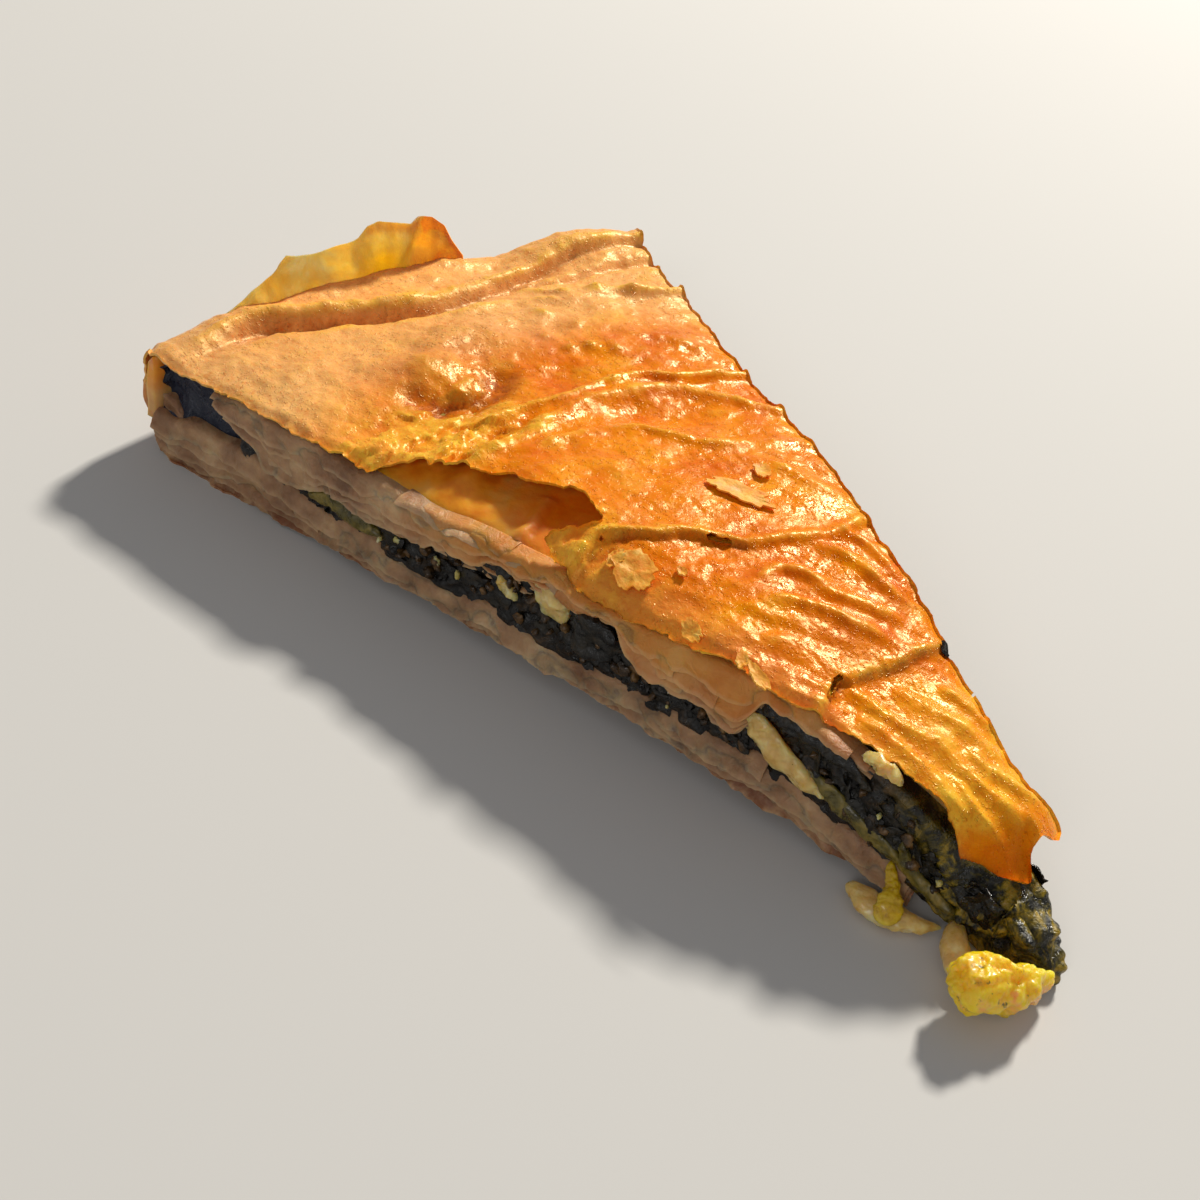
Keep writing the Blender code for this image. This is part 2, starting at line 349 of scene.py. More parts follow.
def noise_node(tree, place, size, detail=3.0, roughness=0.5, distortion=0.0):
    """Noise whose lumps measure size millimetres."""
    inputs = {"Vector": place, "Scale": 1 / (size * MM), "Detail": detail, "Roughness": roughness,
              "Distortion": distortion}
    return add(tree, "ShaderNodeTexNoise", inputs).outputs["Fac"]


def ramp_node(tree, value, stops):
    """A colour ramp through (position, (red, green, blue)) stops, colours as they look on screen."""
    node = add(tree, "ShaderNodeValToRGB", {"Fac": value})
    band = node.color_ramp
    while len(band.elements) < len(stops):
        band.elements.new(0.5)
    for element, (position, colour) in zip(band.elements, stops):
        element.position = position
        element.color = srgb(*colour)
    return node.outputs["Color"]


def span_node(tree, value, low, high, to_low=0.0, to_high=1.0):
    """Map a value from one range to another, held at its ends."""
    inputs = {"Value": value, "From Min": low, "From Max": high, "To Min": to_low, "To Max": to_high}
    return add(tree, "ShaderNodeMapRange", inputs).outputs["Result"]


def mix_node(tree, share, first, second):
    """Blend two colours by a share."""
    return add(tree, "ShaderNodeMix", {0: share, 6: first, 7: second}, data_type="RGBA").outputs[2]


def math_node(tree, operation, *values, clamp=False):
    """A sum or product of values."""
    inputs = dict(enumerate(values))
    return add(tree, "ShaderNodeMath", inputs, operation=operation, use_clamp=clamp).outputs[0]


def value_node(tree, key):
    """A value stored on the mesh."""
    return add(tree, "ShaderNodeAttribute", attribute_name=key).outputs["Fac"]


def bump_node(tree, height, distance, normal=None):
    """A bump of a distance in millimetres."""
    inputs = {"Height": height, "Distance": distance * MM}
    if normal is not None:
        inputs["Normal"] = normal
    return add(tree, "ShaderNodeBump", inputs).outputs["Normal"]


def srgb(red, green, blue):
    """A colour given as it looks on screen (0 to 255), as the shader wants it."""
    scaled = np.array((red, green, blue)) / 255
    linear = np.where(scaled <= 0.04045, scaled / 12.92, ((scaled + 0.055) / 1.055) ** 2.4)
    return (*linear.tolist(), 1.0)


def translucent(weight, radius, scale):
    """Shader constants for light that spreads inside: share, reach of each colour and scale in metres."""
    return {"Subsurface Weight": weight, "Subsurface Radius": radius, "Subsurface Scale": scale}


def shiny(level):
    """Shader constant for how strongly a surface mirrors light."""
    return {"Specular IOR Level": level}


def coated(weight, roughness):
    """Shader constants for a clear moist film."""
    return {"Coat Weight": weight, "Coat Roughness": roughness}


def finish_shader(tree, base, bumps, roughness, constants):
    """Wire the colour, the bumps and the roughness, and set the shader's constants."""
    shader = tree.nodes["Principled BSDF"]
    tree.links.new(base, shader.inputs["Base Color"])
    normal = None
    for height, distance in bumps:
        normal = bump_node(tree, height, distance, normal)
    tree.links.new(normal, shader.inputs["Normal"])
    tree.links.new(roughness, shader.inputs["Roughness"])
    for key, value in constants.items():
        shader.inputs[key].default_value = value


def skin_material():
    """Golden, oily phyllo: deep orange with painted shade in its hollows, yellow with painted light on its
    ridges, and yellow at its torn edges.
    """
    material, tree, _ = new_material("golden_phyllo")
    place = place_node(tree)
    tan = value_node(tree, "tan")
    patches = noise_node(tree, place, 16, 5, 0.62, 0.5)
    base = ramp_node(tree, patches, (
        (0.32, (222, 100, 0)), (0.46, (236, 124, 0)), (0.58, (246, 142, 0)), (0.72, (252, 162, 14))))
    base = mix_node(tree, tan, base, srgb(250, 190, 114))
    mottled = span_node(tree, noise_node(tree, place, 3.2, 4, 0.65), 0.34, 0.66, 0.25, 1.0)
    # The yellow holds painted light on the ridges; the brown holds painted shade in the hollows, the
    # blisters' lee, the groove and the cracks, as well as real browning.
    for key, colour in (("yellow", (255, 200, 64)), ("brown", (150, 62, 22))):
        share = math_node(tree, "MULTIPLY", value_node(tree, key), mottled)
        base = mix_node(tree, share, base, srgb(*colour))
    speckle = span_node(tree, noise_node(tree, place, 0.9, 3, 0.7), 0.50, 0.68, 0.0, 0.4)
    base = mix_node(tree, speckle, base, srgb(222, 100, 2))
    bubbles = noise_node(tree, place, 1.5, 3, 0.6)
    grit = noise_node(tree, place, 0.55, 2, 0.6)
    drops = span_node(tree, noise_node(tree, place, 0.65, 2, 0.6), 0.57, 0.69)
    clusters = span_node(tree, noise_node(tree, place, 7, 3, 0.6), 0.42, 0.58, 0.25, 1.0)
    drops = math_node(tree, "MULTIPLY", drops, clusters)
    oily = span_node(tree, noise_node(tree, place, 6, 4, 0.65), 0.36, 0.62, 0.38, 0.21)
    dry = math_node(tree, "MULTIPLY_ADD", tan, 0.10, oily)
    wet = math_node(tree, "MULTIPLY_ADD", drops, -0.12, dry)
    golden_shine = {"Specular Tint": (1.0, 0.74, 0.19, 1)}
    constants = shiny(0.42) | golden_shine | translucent(0.25, (1.0, 0.4, 0.12), 0.002)
    finish_shader(tree, base, ((bubbles, 0.09), (grit, 0.09), (drops, 0.16)), wet, constants)
    return material


def sheet_material(name, toast):
    """Soaked phyllo: tan and slightly translucent, orange near the skin, browned where the mesh says so."""
    material, tree, _ = new_material(name)
    place = place_node(tree)
    cloud = noise_node(tree, place, 8, 4, 0.6)
    base = ramp_node(tree, cloud, (
        (0.3, (126, 90, 62)), (0.45, (162, 122, 88)), (0.6, (190, 150, 110)), (0.74, (214, 178, 136))))
    warm = ramp_node(tree, cloud, ((0.3, (212, 122, 36)), (0.7, (230, 156, 70))))
    base = mix_node(tree, value_node(tree, "warm"), base, warm)
    base = mix_node(tree, value_node(tree, "pale"), base, srgb(244, 214, 168))
    spots = span_node(tree, noise_node(tree, place, 3.5, 3, 0.6), 0.40, 0.60)
    toasted = math_node(tree, "MULTIPLY", value_node(tree, "brown"), spots)
    browned = math_node(tree, "MULTIPLY", toasted, toast * 1.6, clamp=True)
    base = mix_node(tree, browned, base, srgb(122, 66, 30))
    bumps = ((noise_node(tree, place, 2.6, 5, 0.68, 1.0), 0.5), (noise_node(tree, place, 0.7, 2, 0.5), 0.06))
    gloss = span_node(tree, noise_node(tree, place, 5, 2, 0.5), 0.3, 0.7, 0.34, 0.55)
    finish_shader(tree, base, bumps, gloss, shiny(0.35) | translucent(0.5, (1.0, 0.5, 0.22), 0.0016))
    return material


def amber_material():
    """Oily sheets under the skin, amber where light comes through them, with painted shade in the rear
    hollow.
    """
    material, tree, _ = new_material("amber_phyllo")
    place = place_node(tree)
    cloud = noise_node(tree, place, 7, 3, 0.6)
    pale = ramp_node(tree, cloud, ((0.3, (196, 134, 72)), (0.7, (222, 176, 108))))
    deep = ramp_node(tree, cloud, ((0.3, (226, 104, 4)), (0.7, (250, 140, 16))))
    painted_light_gold = ramp_node(tree, cloud, ((0.3, (226, 128, 18)), (0.5, (246, 156, 36)), (0.7, (236, 168, 76))))
    # Painted light and shade on the pocket's floor: gold where light falls on it, deep orange where it lies
    # in shade.
    deep = mix_node(tree, value_node(tree, "painted_light_gold"), deep, painted_light_gold)
    base = mix_node(tree, value_node(tree, "amber"), pale, deep)
    # Painted shade: near black in the rear hollow.
    base = mix_node(tree, value_node(tree, "painted_hollow_shade"), base, srgb(40, 34, 34))
    crumple = noise_node(tree, place, 2.4, 3, 0.55)
    glaze = span_node(tree, noise_node(tree, place, 6, 2, 0.5), 0.3, 0.7, 0.3, 0.5)
    constants = shiny(0.35) | translucent(0.8, (1.0, 0.45, 0.12), 0.0045)
    finish_shader(tree, base, ((crumple, 0.25),), glaze, constants)
    return material


def flap_material():
    """Thin crisp sheet: lets light through, with a painted glow of that light in its middle, brown at its
    folds.
    """
    material, tree, _ = new_material("thin_phyllo")
    place = place_node(tree)
    cloud = noise_node(tree, place, 8, 4, 0.6, 0.5)
    base = ramp_node(tree, cloud, ((0.3, (255, 132, 64)), (0.5, (255, 158, 104)), (0.7, (255, 196, 164))))
    # Painted light: a saturated orange glow where light shines through the sheet.
    base = mix_node(tree, value_node(tree, "painted_glow"), base, srgb(255, 138, 24))
    base = mix_node(tree, value_node(tree, "brown"), base, srgb(150, 48, 26))
    crumple = noise_node(tree, place, 1.6, 4, 0.65)
    crisp = span_node(tree, noise_node(tree, place, 4, 2, 0.5), 0.3, 0.7, 0.4, 0.6)
    finish_shader(tree, base, ((crumple, 0.22),), crisp, translucent(0.95, (1.0, 0.42, 0.14), 0.007))
    return material


def filling_material():
    """Wet cooked spinach: near-black green with brown and lighter green patches, and painted shade in the
    rear hollow.
    """
    material, tree, _ = new_material("wet_spinach")
    place = place_node(tree)
    cloud = noise_node(tree, place, 4.0, 4, 0.68, 0.6)
    base = ramp_node(tree, cloud, (
        (0.38, (6, 5, 4)), (0.52, (16, 12, 7)), (0.60, (38, 27, 12)), (0.68, (72, 50, 22)),
        (0.78, (112, 80, 40))))
    tip = ramp_node(tree, cloud, (
        (0.38, (8, 9, 5)), (0.46, (30, 28, 8)), (0.53, (96, 84, 12)), (0.61, (160, 132, 24)),
        (0.74, (180, 146, 76))))
    base = mix_node(tree, value_node(tree, "tip"), base, tip)
    # Painted shade: near black in the rear hollow.
    base = mix_node(tree, value_node(tree, "painted_hollow_shade"), base, srgb(24, 31, 50))
    bumps = ((noise_node(tree, place, 1.5, 4, 0.65), 0.6), (noise_node(tree, place, 0.5, 2, 0.6), 0.14))
    wet = span_node(tree, noise_node(tree, place, 2, 2, 0.5), 0.35, 0.65, 0.16, 0.6)
    finish_shader(tree, base, bumps, wet, shiny(0.5))
    return material


def egg_material():
    """Pastry soaked with egg and oil: yellow, with painted orange light along its lower edge and green
    specks.
    """
    material, tree, _ = new_material("egg_pastry")
    place = place_node(tree)
    cloud = noise_node(tree, place, 3.6, 4, 0.6)
    base = ramp_node(tree, cloud, (
        (0.32, (212, 168, 0)), (0.45, (255, 200, 0)), (0.58, (255, 208, 26)), (0.70, (255, 168, 84))))
    green = span_node(tree, noise_node(tree, place, 1.5, 3, 0.6), 0.62, 0.72)
    base = mix_node(tree, green, base, srgb(112, 104, 22))
    # Painted light: orange along the lump's lit lower edge.
    base = mix_node(tree, value_node(tree, "painted_lit_edge"), base, srgb(250, 168, 84))
    curd = noise_node(tree, place, 0.9, 4, 0.65)
    moist = span_node(tree, noise_node(tree, place, 2.5, 2, 0.5), 0.35, 0.65, 0.3, 0.55)
    constants = translucent(0.9, (1.0, 0.65, 0.15), 0.006) | coated(0.4, 0.15)
    finish_shader(tree, base, ((curd, 0.3),), moist, constants)
    return material


# Materials of one colour noise: the noise (size, detail, roughness, distortion), its colour stops, the bump's
# noise and depth, the noise behind the gloss (None for the colour's own) with its span, and the constants.
PLAIN_MATERIALS = {
    "dry_flakes": (
        (2.2, 4, 0.65), ((0.35, (252, 150, 24)), (0.55, (255, 176, 54)), (0.7, (255, 200, 94))),
        (0.7, 3, 0.6), 0.12, (3, 2, 0.5), (0.3, 0.7, 0.5, 0.7), translucent(0.3, (1.0, 0.6, 0.2), 0.001)),
    "spinach_leaf": (
        (3.0, 4, 0.6), ((0.35, (6, 6, 5)), (0.5, (15, 13, 8)), (0.62, (34, 28, 13)), (0.74, (64, 46, 22))),
        (0.9, 3, 0.6, 1.0), 0.35, None, (0.35, 0.65, 0.15, 0.5), shiny(0.55)),
    "brown_greens": (
        (2.6, 3, 0.6),
        ((0.34, (30, 22, 12)), (0.50, (66, 46, 22)), (0.64, (106, 76, 38)), (0.76, (136, 104, 60))),
        (0.6, 3, 0.6), 0.1, None, (0.35, 0.65, 0.15, 0.4), {}),
    "olive_greens": (
        (3.4, 4, 0.62, 0.4),
        ((0.34, (58, 52, 18)), (0.48, (96, 86, 30)), (0.60, (134, 116, 50)), (0.74, (160, 140, 84))),
        (0.8, 3, 0.6), 0.15, None, (0.35, 0.65, 0.2, 0.5), translucent(0.4, (1.0, 0.8, 0.2), 0.0015)),
    "cooked_onion": (
        (3.2, 3, 0.6), ((0.35, (212, 166, 84)), (0.55, (236, 196, 120)), (0.7, (244, 218, 158))),
        (0.6, 3, 0.6), 0.1, (2, 2, 0.5), (0.35, 0.65, 0.25, 0.45),
        translucent(0.9, (1.0, 0.7, 0.25), 0.004) | coated(0.4, 0.15)),
    "yellow_leek": (
        (1.6, 3, 0.6), ((0.35, (186, 142, 10)), (0.55, (222, 184, 24)), (0.7, (238, 206, 60))),
        (0.5, 3, 0.6), 0.1, None, (0.35, 0.65, 0.2, 0.4),
        translucent(0.6, (1.0, 0.8, 0.2), 0.0015) | coated(0.6, 0.1)),
}


def plain_material(name):
    """One of the plain materials."""
    cloud_noise, stops, relief_noise, relief, gloss_noise, gloss_span, constants = PLAIN_MATERIALS[name]
    material, tree, _ = new_material(name)
    place = place_node(tree)
    cloud = noise_node(tree, place, *cloud_noise)
    gloss = cloud if gloss_noise is None else noise_node(tree, place, *gloss_noise)
    bumps = ((noise_node(tree, place, *relief_noise), relief),)
    finish_shader(tree, ramp_node(tree, cloud, stops), bumps, span_node(tree, gloss, *gloss_span), constants)
    return material


# ---------------------------------------------------------------- top skin
# Radius where the skin starts to turn down over the rim.
FLOW_EDGE = 187.0
# Features that run from cut to cut are (across, radius) profiles; folds are paths of (s, y) places,
# where s is the distance from the tip along the middle.
GROOVE = smooth_profile((
    (-1, 179.5), (-0.83, 181), (-0.62, 182), (-0.43, 178), (-0.22, 173.5), (0, 171), (0.2, 172.5),
    (0.38, 175), (0.57, 177.5), (0.78, 180.5), (1, 182)))
GROOVE_DEPTH = smooth_profile((
    (-1, 0.5), (-0.75, 1.6), (-0.5, 3.2), (-0.15, 3.2), (0.1, 2.2), (0.4, 1.6), (1, 0.8)))
RIM_LIFT = smooth_profile(((-1, 0), (0.2, 0), (0.42, -1.8), (0.62, 0.8), (0.82, 2.2), (1, 0.6)))
# Ridges and dents across the rear: the line, its lift, its width, and the part across where it fades in.
REAR_LINES = (
    (smooth_profile(((0.3, 175.5), (0.57, 179.1), (0.78, 182.2), (1, 184))), -1.5, 1.1, (0.25, 0.45)),
    (smooth_profile(((0.3, 173.7), (0.58, 173.5), (0.72, 174.9), (1, 177))), -1.5, 1.4, (0.25, 0.45)),
    (smooth_profile(((0.3, 172), (0.4, 170.4), (0.49, 165.1), (0.65, 164.4), (0.78, 162.6), (1, 161))),
     1.0, 1.6, (0.3, 0.5)),
    (smooth_profile(((-0.2, 167), (0.02, 166.1), (0.23, 165.7), (0.33, 165), (0.5, 162))),
     0.8, 1.8, (-0.3, 0.0)),
    (smooth_profile(((-0.8, 128.5), (-0.29, 129.5), (0.02, 128.5), (0.28, 129.7), (0.45, 130.2),
                     (0.64, 127.5), (0.9, 128))), 1.4, 1.3, (-0.9, -0.4)),
    (smooth_profile(((-0.75, 121.7), (-0.51, 122.3), (-0.31, 122.9), (0.12, 125.4), (0.38, 125.3),
                     (0.58, 123), (0.71, 120), (1, 113))), 1.5, 2.3, (-1.0, -0.6)),
    (smooth_profile(((-0.6, 118.8), (-0.36, 117.6), (-0.09, 116.3), (0.13, 113.3), (0.24, 108.8),
                     (0.36, 104.9), (0.55, 102.3), (1, 100))), 0.8, 1.7, (-0.6, -0.3)),
)
# Small round bumps and hollows: s, y, width and height.
REAR_BUMPS = (
    (158.0, 15.8, 2.3, 0.9), (150.9, 18.5, 1.7, 0.72), (149.3, 10.8, 1.8, 0.72), (143.4, 12.2, 1.5, 0.66),
    (141.6, 15.9, 1.7, 0.78), (138.6, 19.4, 1.7, 0.66), (136.9, 33.0, 4.5, 0.96), (161.2, 32.2, 2.2, 1.08),
    (158.0, 38.4, 2.2, 0.72), (163.2, 24.6, 1.8, 0.54), (133.0, 36.0, 2.0, 0.54), (125.0, 33.0, 2.4, 0.6),
)
HOLLOWS = ((119.1, 9.2, 4.0, -1.1), (114.9, 13.4, 3.6, -1.2), (113.3, 18.4, 3.4, -1.1),
           (134.0, 4.0, 4.5, -0.9))
# Blisters: s, y, their two half sizes and height; the lee is the fold below them, dented and given painted
# shade.
BLISTERS = ((157.0, -4.0, 5.5, 8.0, 2.2), (148.5, -16.0, 5.0, 8.5, 2.6))
BLISTER_LEE = ((141.0, -22.0), (138.4, -20.0), (136.8, -15.0), (138.0, -9.0), (141.0, -5.0))
LEE_DEPTH = 1.7
LEE_WIDTH = 3.0
# Folds: the path, its width and its height.
FOLDS = (
    (((69.7, -4.5), (70.8, -1.8), (70.7, 0.8), (68.5, 3.6), (65.7, 3.9), (62.3, 4.3), (59.2, 6.3),
      (56.3, 8.5), (52.3, 11.8)), 1.5, 1.25),
    (((65.4, -7.8), (64.6, -4.5), (62.7, -2.2), (60.1, 0.3), (56.8, 2.1), (54.3, 3.2), (50.4, 6.5)),
     1.5, 1.0),
    (((73.0, 10.0), (68.6, 12.2), (64.2, 13.0), (59.4, 13.6), (54.5, 15.5)), 1.4, 1.2),
    (((74.0, 17.0), (69.6, 18.4), (64.1, 18.2), (60.5, 18.0)), 1.2, 1.0),
    (((60.0, -12.5), (57.0, -8.0), (54.0, -5.0)), 1.6, 0.5),
    (((94.0, 18.0), (88.0, 20.0), (80.0, 22.5)), 1.6, 0.7),
    (((46.3, -5.1), (43.0, -4.3), (40.2, -4.0), (35.2, -1.4), (32.9, 0.4), (28.0, 1.0)), 1.6, 1.1),
    (((44.5, 1.5), (42.1, 2.2), (36.7, 4.0), (32.3, 6.0), (28.0, 6.5)), 1.4, 0.9),
    (((42.9, -8.0), (35.5, -5.8), (31.0, -4.8), (26.0, -4.0), (21.8, -4.2)), 1.3, 0.9),
    (((29.0, 0.6), (23.2, 1.6), (17.9, 2.6), (14.5, 2.6)), 1.1, 1.0),
    (((27.0, -1.5), (21.0, -1.6), (16.0, -0.6)), 0.9, 0.8),
    (((30.0, 4.0), (26.9, 3.6), (23.2, 5.1), (18.0, 6.5)), 1.1, 0.9),
    (((41.0, 8.0), (36.0, 9.5), (31.0, 9.8)), 1.1, 0.9),
)
# The torn pocket as a closed outline of (s, y) places, open to the left cut.
TORN_POCKET = (
    (131.0, -48.0), (128.0, -37.5), (124.8, -33.0), (122.9, -31.2), (119.7, -27.5), (117.4, -26.6),
    (115.1, -24.8), (112.0, -22.4), (109.8, -22.3), (107.4, -21.5), (104.4, -19.5), (102.3, -17.0),
    (99.4, -16.6), (96.8, -17.1), (94.5, -18.0), (92.6, -18.3), (93.3, -20.2), (94.4, -21.9), (95.4, -23.4),
    (96.3, -25.1), (96.4, -26.6), (94.2, -27.2), (91.0, -27.4), (87.5, -27.3), (85.0, -29.5), (84.0, -48.0),
)
# The two cracks across the skin: where each runs, and how far each half of it gapes (below zero: shut).
CRACK_ONE = smooth_profile((
    (-1, 93), (-0.75, 93), (-0.67, 91.5), (-0.57, 88.9), (-0.46, 86.0), (-0.31, 84.2), (-0.19, 81.7),
    (-0.1, 79.7), (-0.01, 77.3), (0.22, 75.7), (0.65, 74.1), (0.86, 75.9), (1, 77)))
CRACK_ONE_GAPE = smooth_profile((
    (-0.8, 0.3), (-0.66, 0.15), (-0.6, -0.6), (-0.26, -0.6), (-0.2, 0.4), (-0.12, 0.5), (-0.05, -0.5),
    (0.0, -0.6)))
CRACK_TWO = smooth_profile((
    (-1, 46.5), (-0.68, 47.6), (-0.4, 49.0), (-0.31, 47.6), (0.02, 47.3), (0.31, 46.9), (0.52, 47.5),
    (0.91, 48.7), (1, 49)))
CRACK_TWO_GAPE = smooth_profile((
    (-1, -0.8), (-0.8, -0.2), (-0.7, 0.25), (-0.5, 0.32), (-0.3, 0.2), (0.1, 0.2), (0.5, 0.15), (0.75, 0.05),
    (0.9, -0.2), (1, -0.5)))
# Where the skin ends over the tip, and the lobe at its right-hand end: its radius, width and reach, the
# (s, y) place it is lifted from, how far that lift goes round it, and its height.
TIP_END = smooth_profile((
    (-1.1, 21.6), (-0.85, 20.4), (-0.45, 15.6), (0, 12.4), (0.24, 11.7), (0.42, 12.5), (0.61, 14.6),
    (0.8, 15.2), (1.3, 15.4)))
SPUR_RADIUS = 17.4
SPUR_WIDTH = 2.4
SPUR_REACH = 2.8
SPUR_LIFT = (13.8, 9.6, 6.0, 4.2)
# The skin's mesh, where it starts, how far it goes beyond the rim's edge, and how it turns down there.
SKIN_GRID = (430, 205)
SKIN_START = 9.0
SKIN_FINISH = FLOW_EDGE + 17
SKIN_BEYOND = 2.6
SKIN_THICKNESS = 0.5
TURN_LENGTH = 4.5
TURN_REACH = 3.2


def path_distance(s, y, path):
    """Distance from each place to a path of (s, y) points, and how far along the path it is (0 to 1)."""
    path = np.array(path, dtype=float)
    lengths = np.hypot(*np.diff(path, axis=0).T)
    passed = np.concatenate([[0], np.cumsum(lengths)])
    nearest = np.full(s.shape, 1e9)
    share = np.zeros(s.shape)
    for start, end, length, before in zip(path[:-1], path[1:], lengths, passed):
        step_s, step_y = end - start
        along = np.clip(((s - start[0]) * step_s + (y - start[1]) * step_y) / length ** 2, 0, 1)
        distance = np.hypot(s - start[0] - along * step_s, y - start[1] - along * step_y)
        nearer = distance < nearest
        nearest = np.where(nearer, distance, nearest)
        share = np.where(nearer, (before + along * length) / passed[-1], share)
    return nearest, share


def outline_distance(s, y, outline):
    """Distance to a closed outline of (s, y) places, below zero inside it."""
    closed = outline + outline[:1]
    distance, _ = path_distance(s, y, closed)
    inside = np.zeros(s.shape, dtype=bool)
    for (start_s, start_y), (end_s, end_y) in zip(closed[:-1], closed[1:]):
        crossed = (start_y > y) != (end_y > y)
        drop = end_y - start_y if end_y != start_y else 1.0
        inside ^= crossed & (s < start_s + (y - start_y) * (end_s - start_s) / drop)
    return np.where(inside, -distance, distance)


def stairs(value):
    """Turn a slowly changing value into ledges with short steep steps."""
    whole = np.floor(value)
    return whole + ramp(value - whole, 0.7, 1.0)


def rim_relief(radius, across, y):
    """The groove with its steep far side, and the roll behind it."""
    apart = radius - GROOVE(across) - 1.3 * noise_at(flat_points(y), 12, 5)
    depth = GROOVE_DEPTH(across)
    relief = 0.35 * depth * bump(apart - 4.0, 2.0) - depth * bump(apart, np.where(apart < 0, 3.0, 1.7))
    return relief + RIM_LIFT(across) * ramp(radius, 176, 184)


def rear_relief(radius, across, s, y, drift):
    """Ridges, bumps, hollows and blisters of the rear half."""
    relief = np.zeros(s.shape)
    for line, lift, width, (low, high) in REAR_LINES:
        relief += lift * bump(radius - line(across) - 0.7 * drift, width) * ramp(across, low, high)
    for middle_s, middle_y, width, lift in REAR_BUMPS + HOLLOWS:
        relief += lift * bump(np.hypot(s - middle_s, y - middle_y), width)
    for middle_s, middle_y, wide_s, wide_y, lift in BLISTERS:
        relief += lift * bump(np.hypot((s - middle_s + drift) / wide_s, (y - middle_y) / wide_y), 1)
    lee, _ = path_distance(s + drift, y, BLISTER_LEE)
    return relief - LEE_DEPTH * bump(lee, LEE_WIDTH)


def fold_relief(radius, s, y, drift):
    """The folds, and soft creases that follow them: lengthwise on the tip, slanting further back."""
    relief = np.zeros(s.shape)
    for path, width, lift in FOLDS:
        apart, share = path_distance(s + 0.6 * drift, y - 0.6 * drift, path)
        relief += lift * bump(apart, width) * ramp(share, -0.1, 0.25) * ramp(-share, -1.1, -0.7)
    slant = np.where(radius < 47, 0.1, 0.75)
    crease = noise_at(flat_points((s + slant * y) / 4.5, y - slant * (50 - s) + drift), 3.4, 8)
    return relief + 0.55 * crease * ramp(-radius, -92, -60)


def crack_relief(radius, across):
    """The skin steps down at the far side of each crack."""
    past_one = CRACK_ONE(across) - radius
    past_two = CRACK_TWO(across) - radius
    relief = 0.6 * bump(past_one + 1.0, 1.1) + 0.35 * bump(past_two + 0.8, 1.2)
    relief -= 0.8 * ramp(past_two, -0.2, 0.8) * ramp(radius, 30, 46)
    relief -= 0.7 * ramp(past_one, -0.3, 0.9) * ramp(radius, 62, 82) * ramp(-across, -0.08, 0.3)
    return relief - 0.5 * ramp(past_one, -0.2, 0.8) * ramp(radius, 62, 75) * ramp(across, -0.4, 0.1)


def tip_relief(radius, across, s, y):
    """The skin hangs down over the tip, except its lifted lobe."""
    droop = 1.8 + 2.0 * ramp(-across, 0.1, 0.8) - 2.2 * ramp(across, 0.4, 0.8)
    lift_s, lift_y, width, height = SPUR_LIFT
    lifted = height * bump(np.hypot(s - lift_s, y - lift_y), width)
    return lifted - droop * ramp(TIP_END(across) - radius, -8, 0)


def fine_relief(radius, across, s, y):
    """Crumbly terraces beside the pocket, pimples and small unevenness."""
    here = flat_points(s, y)
    crumbly = ramp(-across, 0.12, 0.4) * ramp(radius, 119, 125) * ramp(-radius, -146, -139)
    crumbly = crumbly + bump(np.hypot(s - 91, y + 23.5) / 6, 1)
    slope = 0.2 * (radius - 130)
    ledges = stairs(2.4 * rough(flat_points(s * 1.4, y * 0.7), 8.0, 3, 11) + slope)
    relief = crumbly * (0.9 * (ledges - slope) + 0.25 * rough(here, 2.6, 3, 13))
    relief += 0.5 * rough(here, 9, 3, 15) * (1 + 0.6 * ramp(radius, 95, 120))
    relief += 0.45 * np.maximum(noise_at(here, 4.6, 19), 0) * (0.2 + ramp(radius, 122, 150))
    relief += 0.7 * np.abs(noise_at(here, 5.0, 21)) * ramp(across, 0.72, 0.98)
    return relief + 0.22 * rough(here, 2.0, 3, 23)


def top_height(radius, across, fine=True):
    """Height of the browned top in millimetres."""
    s, y = from_tip(radius, across)
    here = flat_points(s, y)
    drift = 1.1 * noise_at(here, 9, 4)
    height = crust_top(radius) - sink(radius, across) + 1.3 * noise_at(here, 34, 3)
    height += rim_relief(radius, across, y) + rear_relief(radius, across, s, y, drift)
    height += fold_relief(radius, s, y, drift) + crack_relief(radius, across)
    height += tip_relief(radius, across, s, y)
    return height + fine_relief(radius, across, s, y) if fine else height


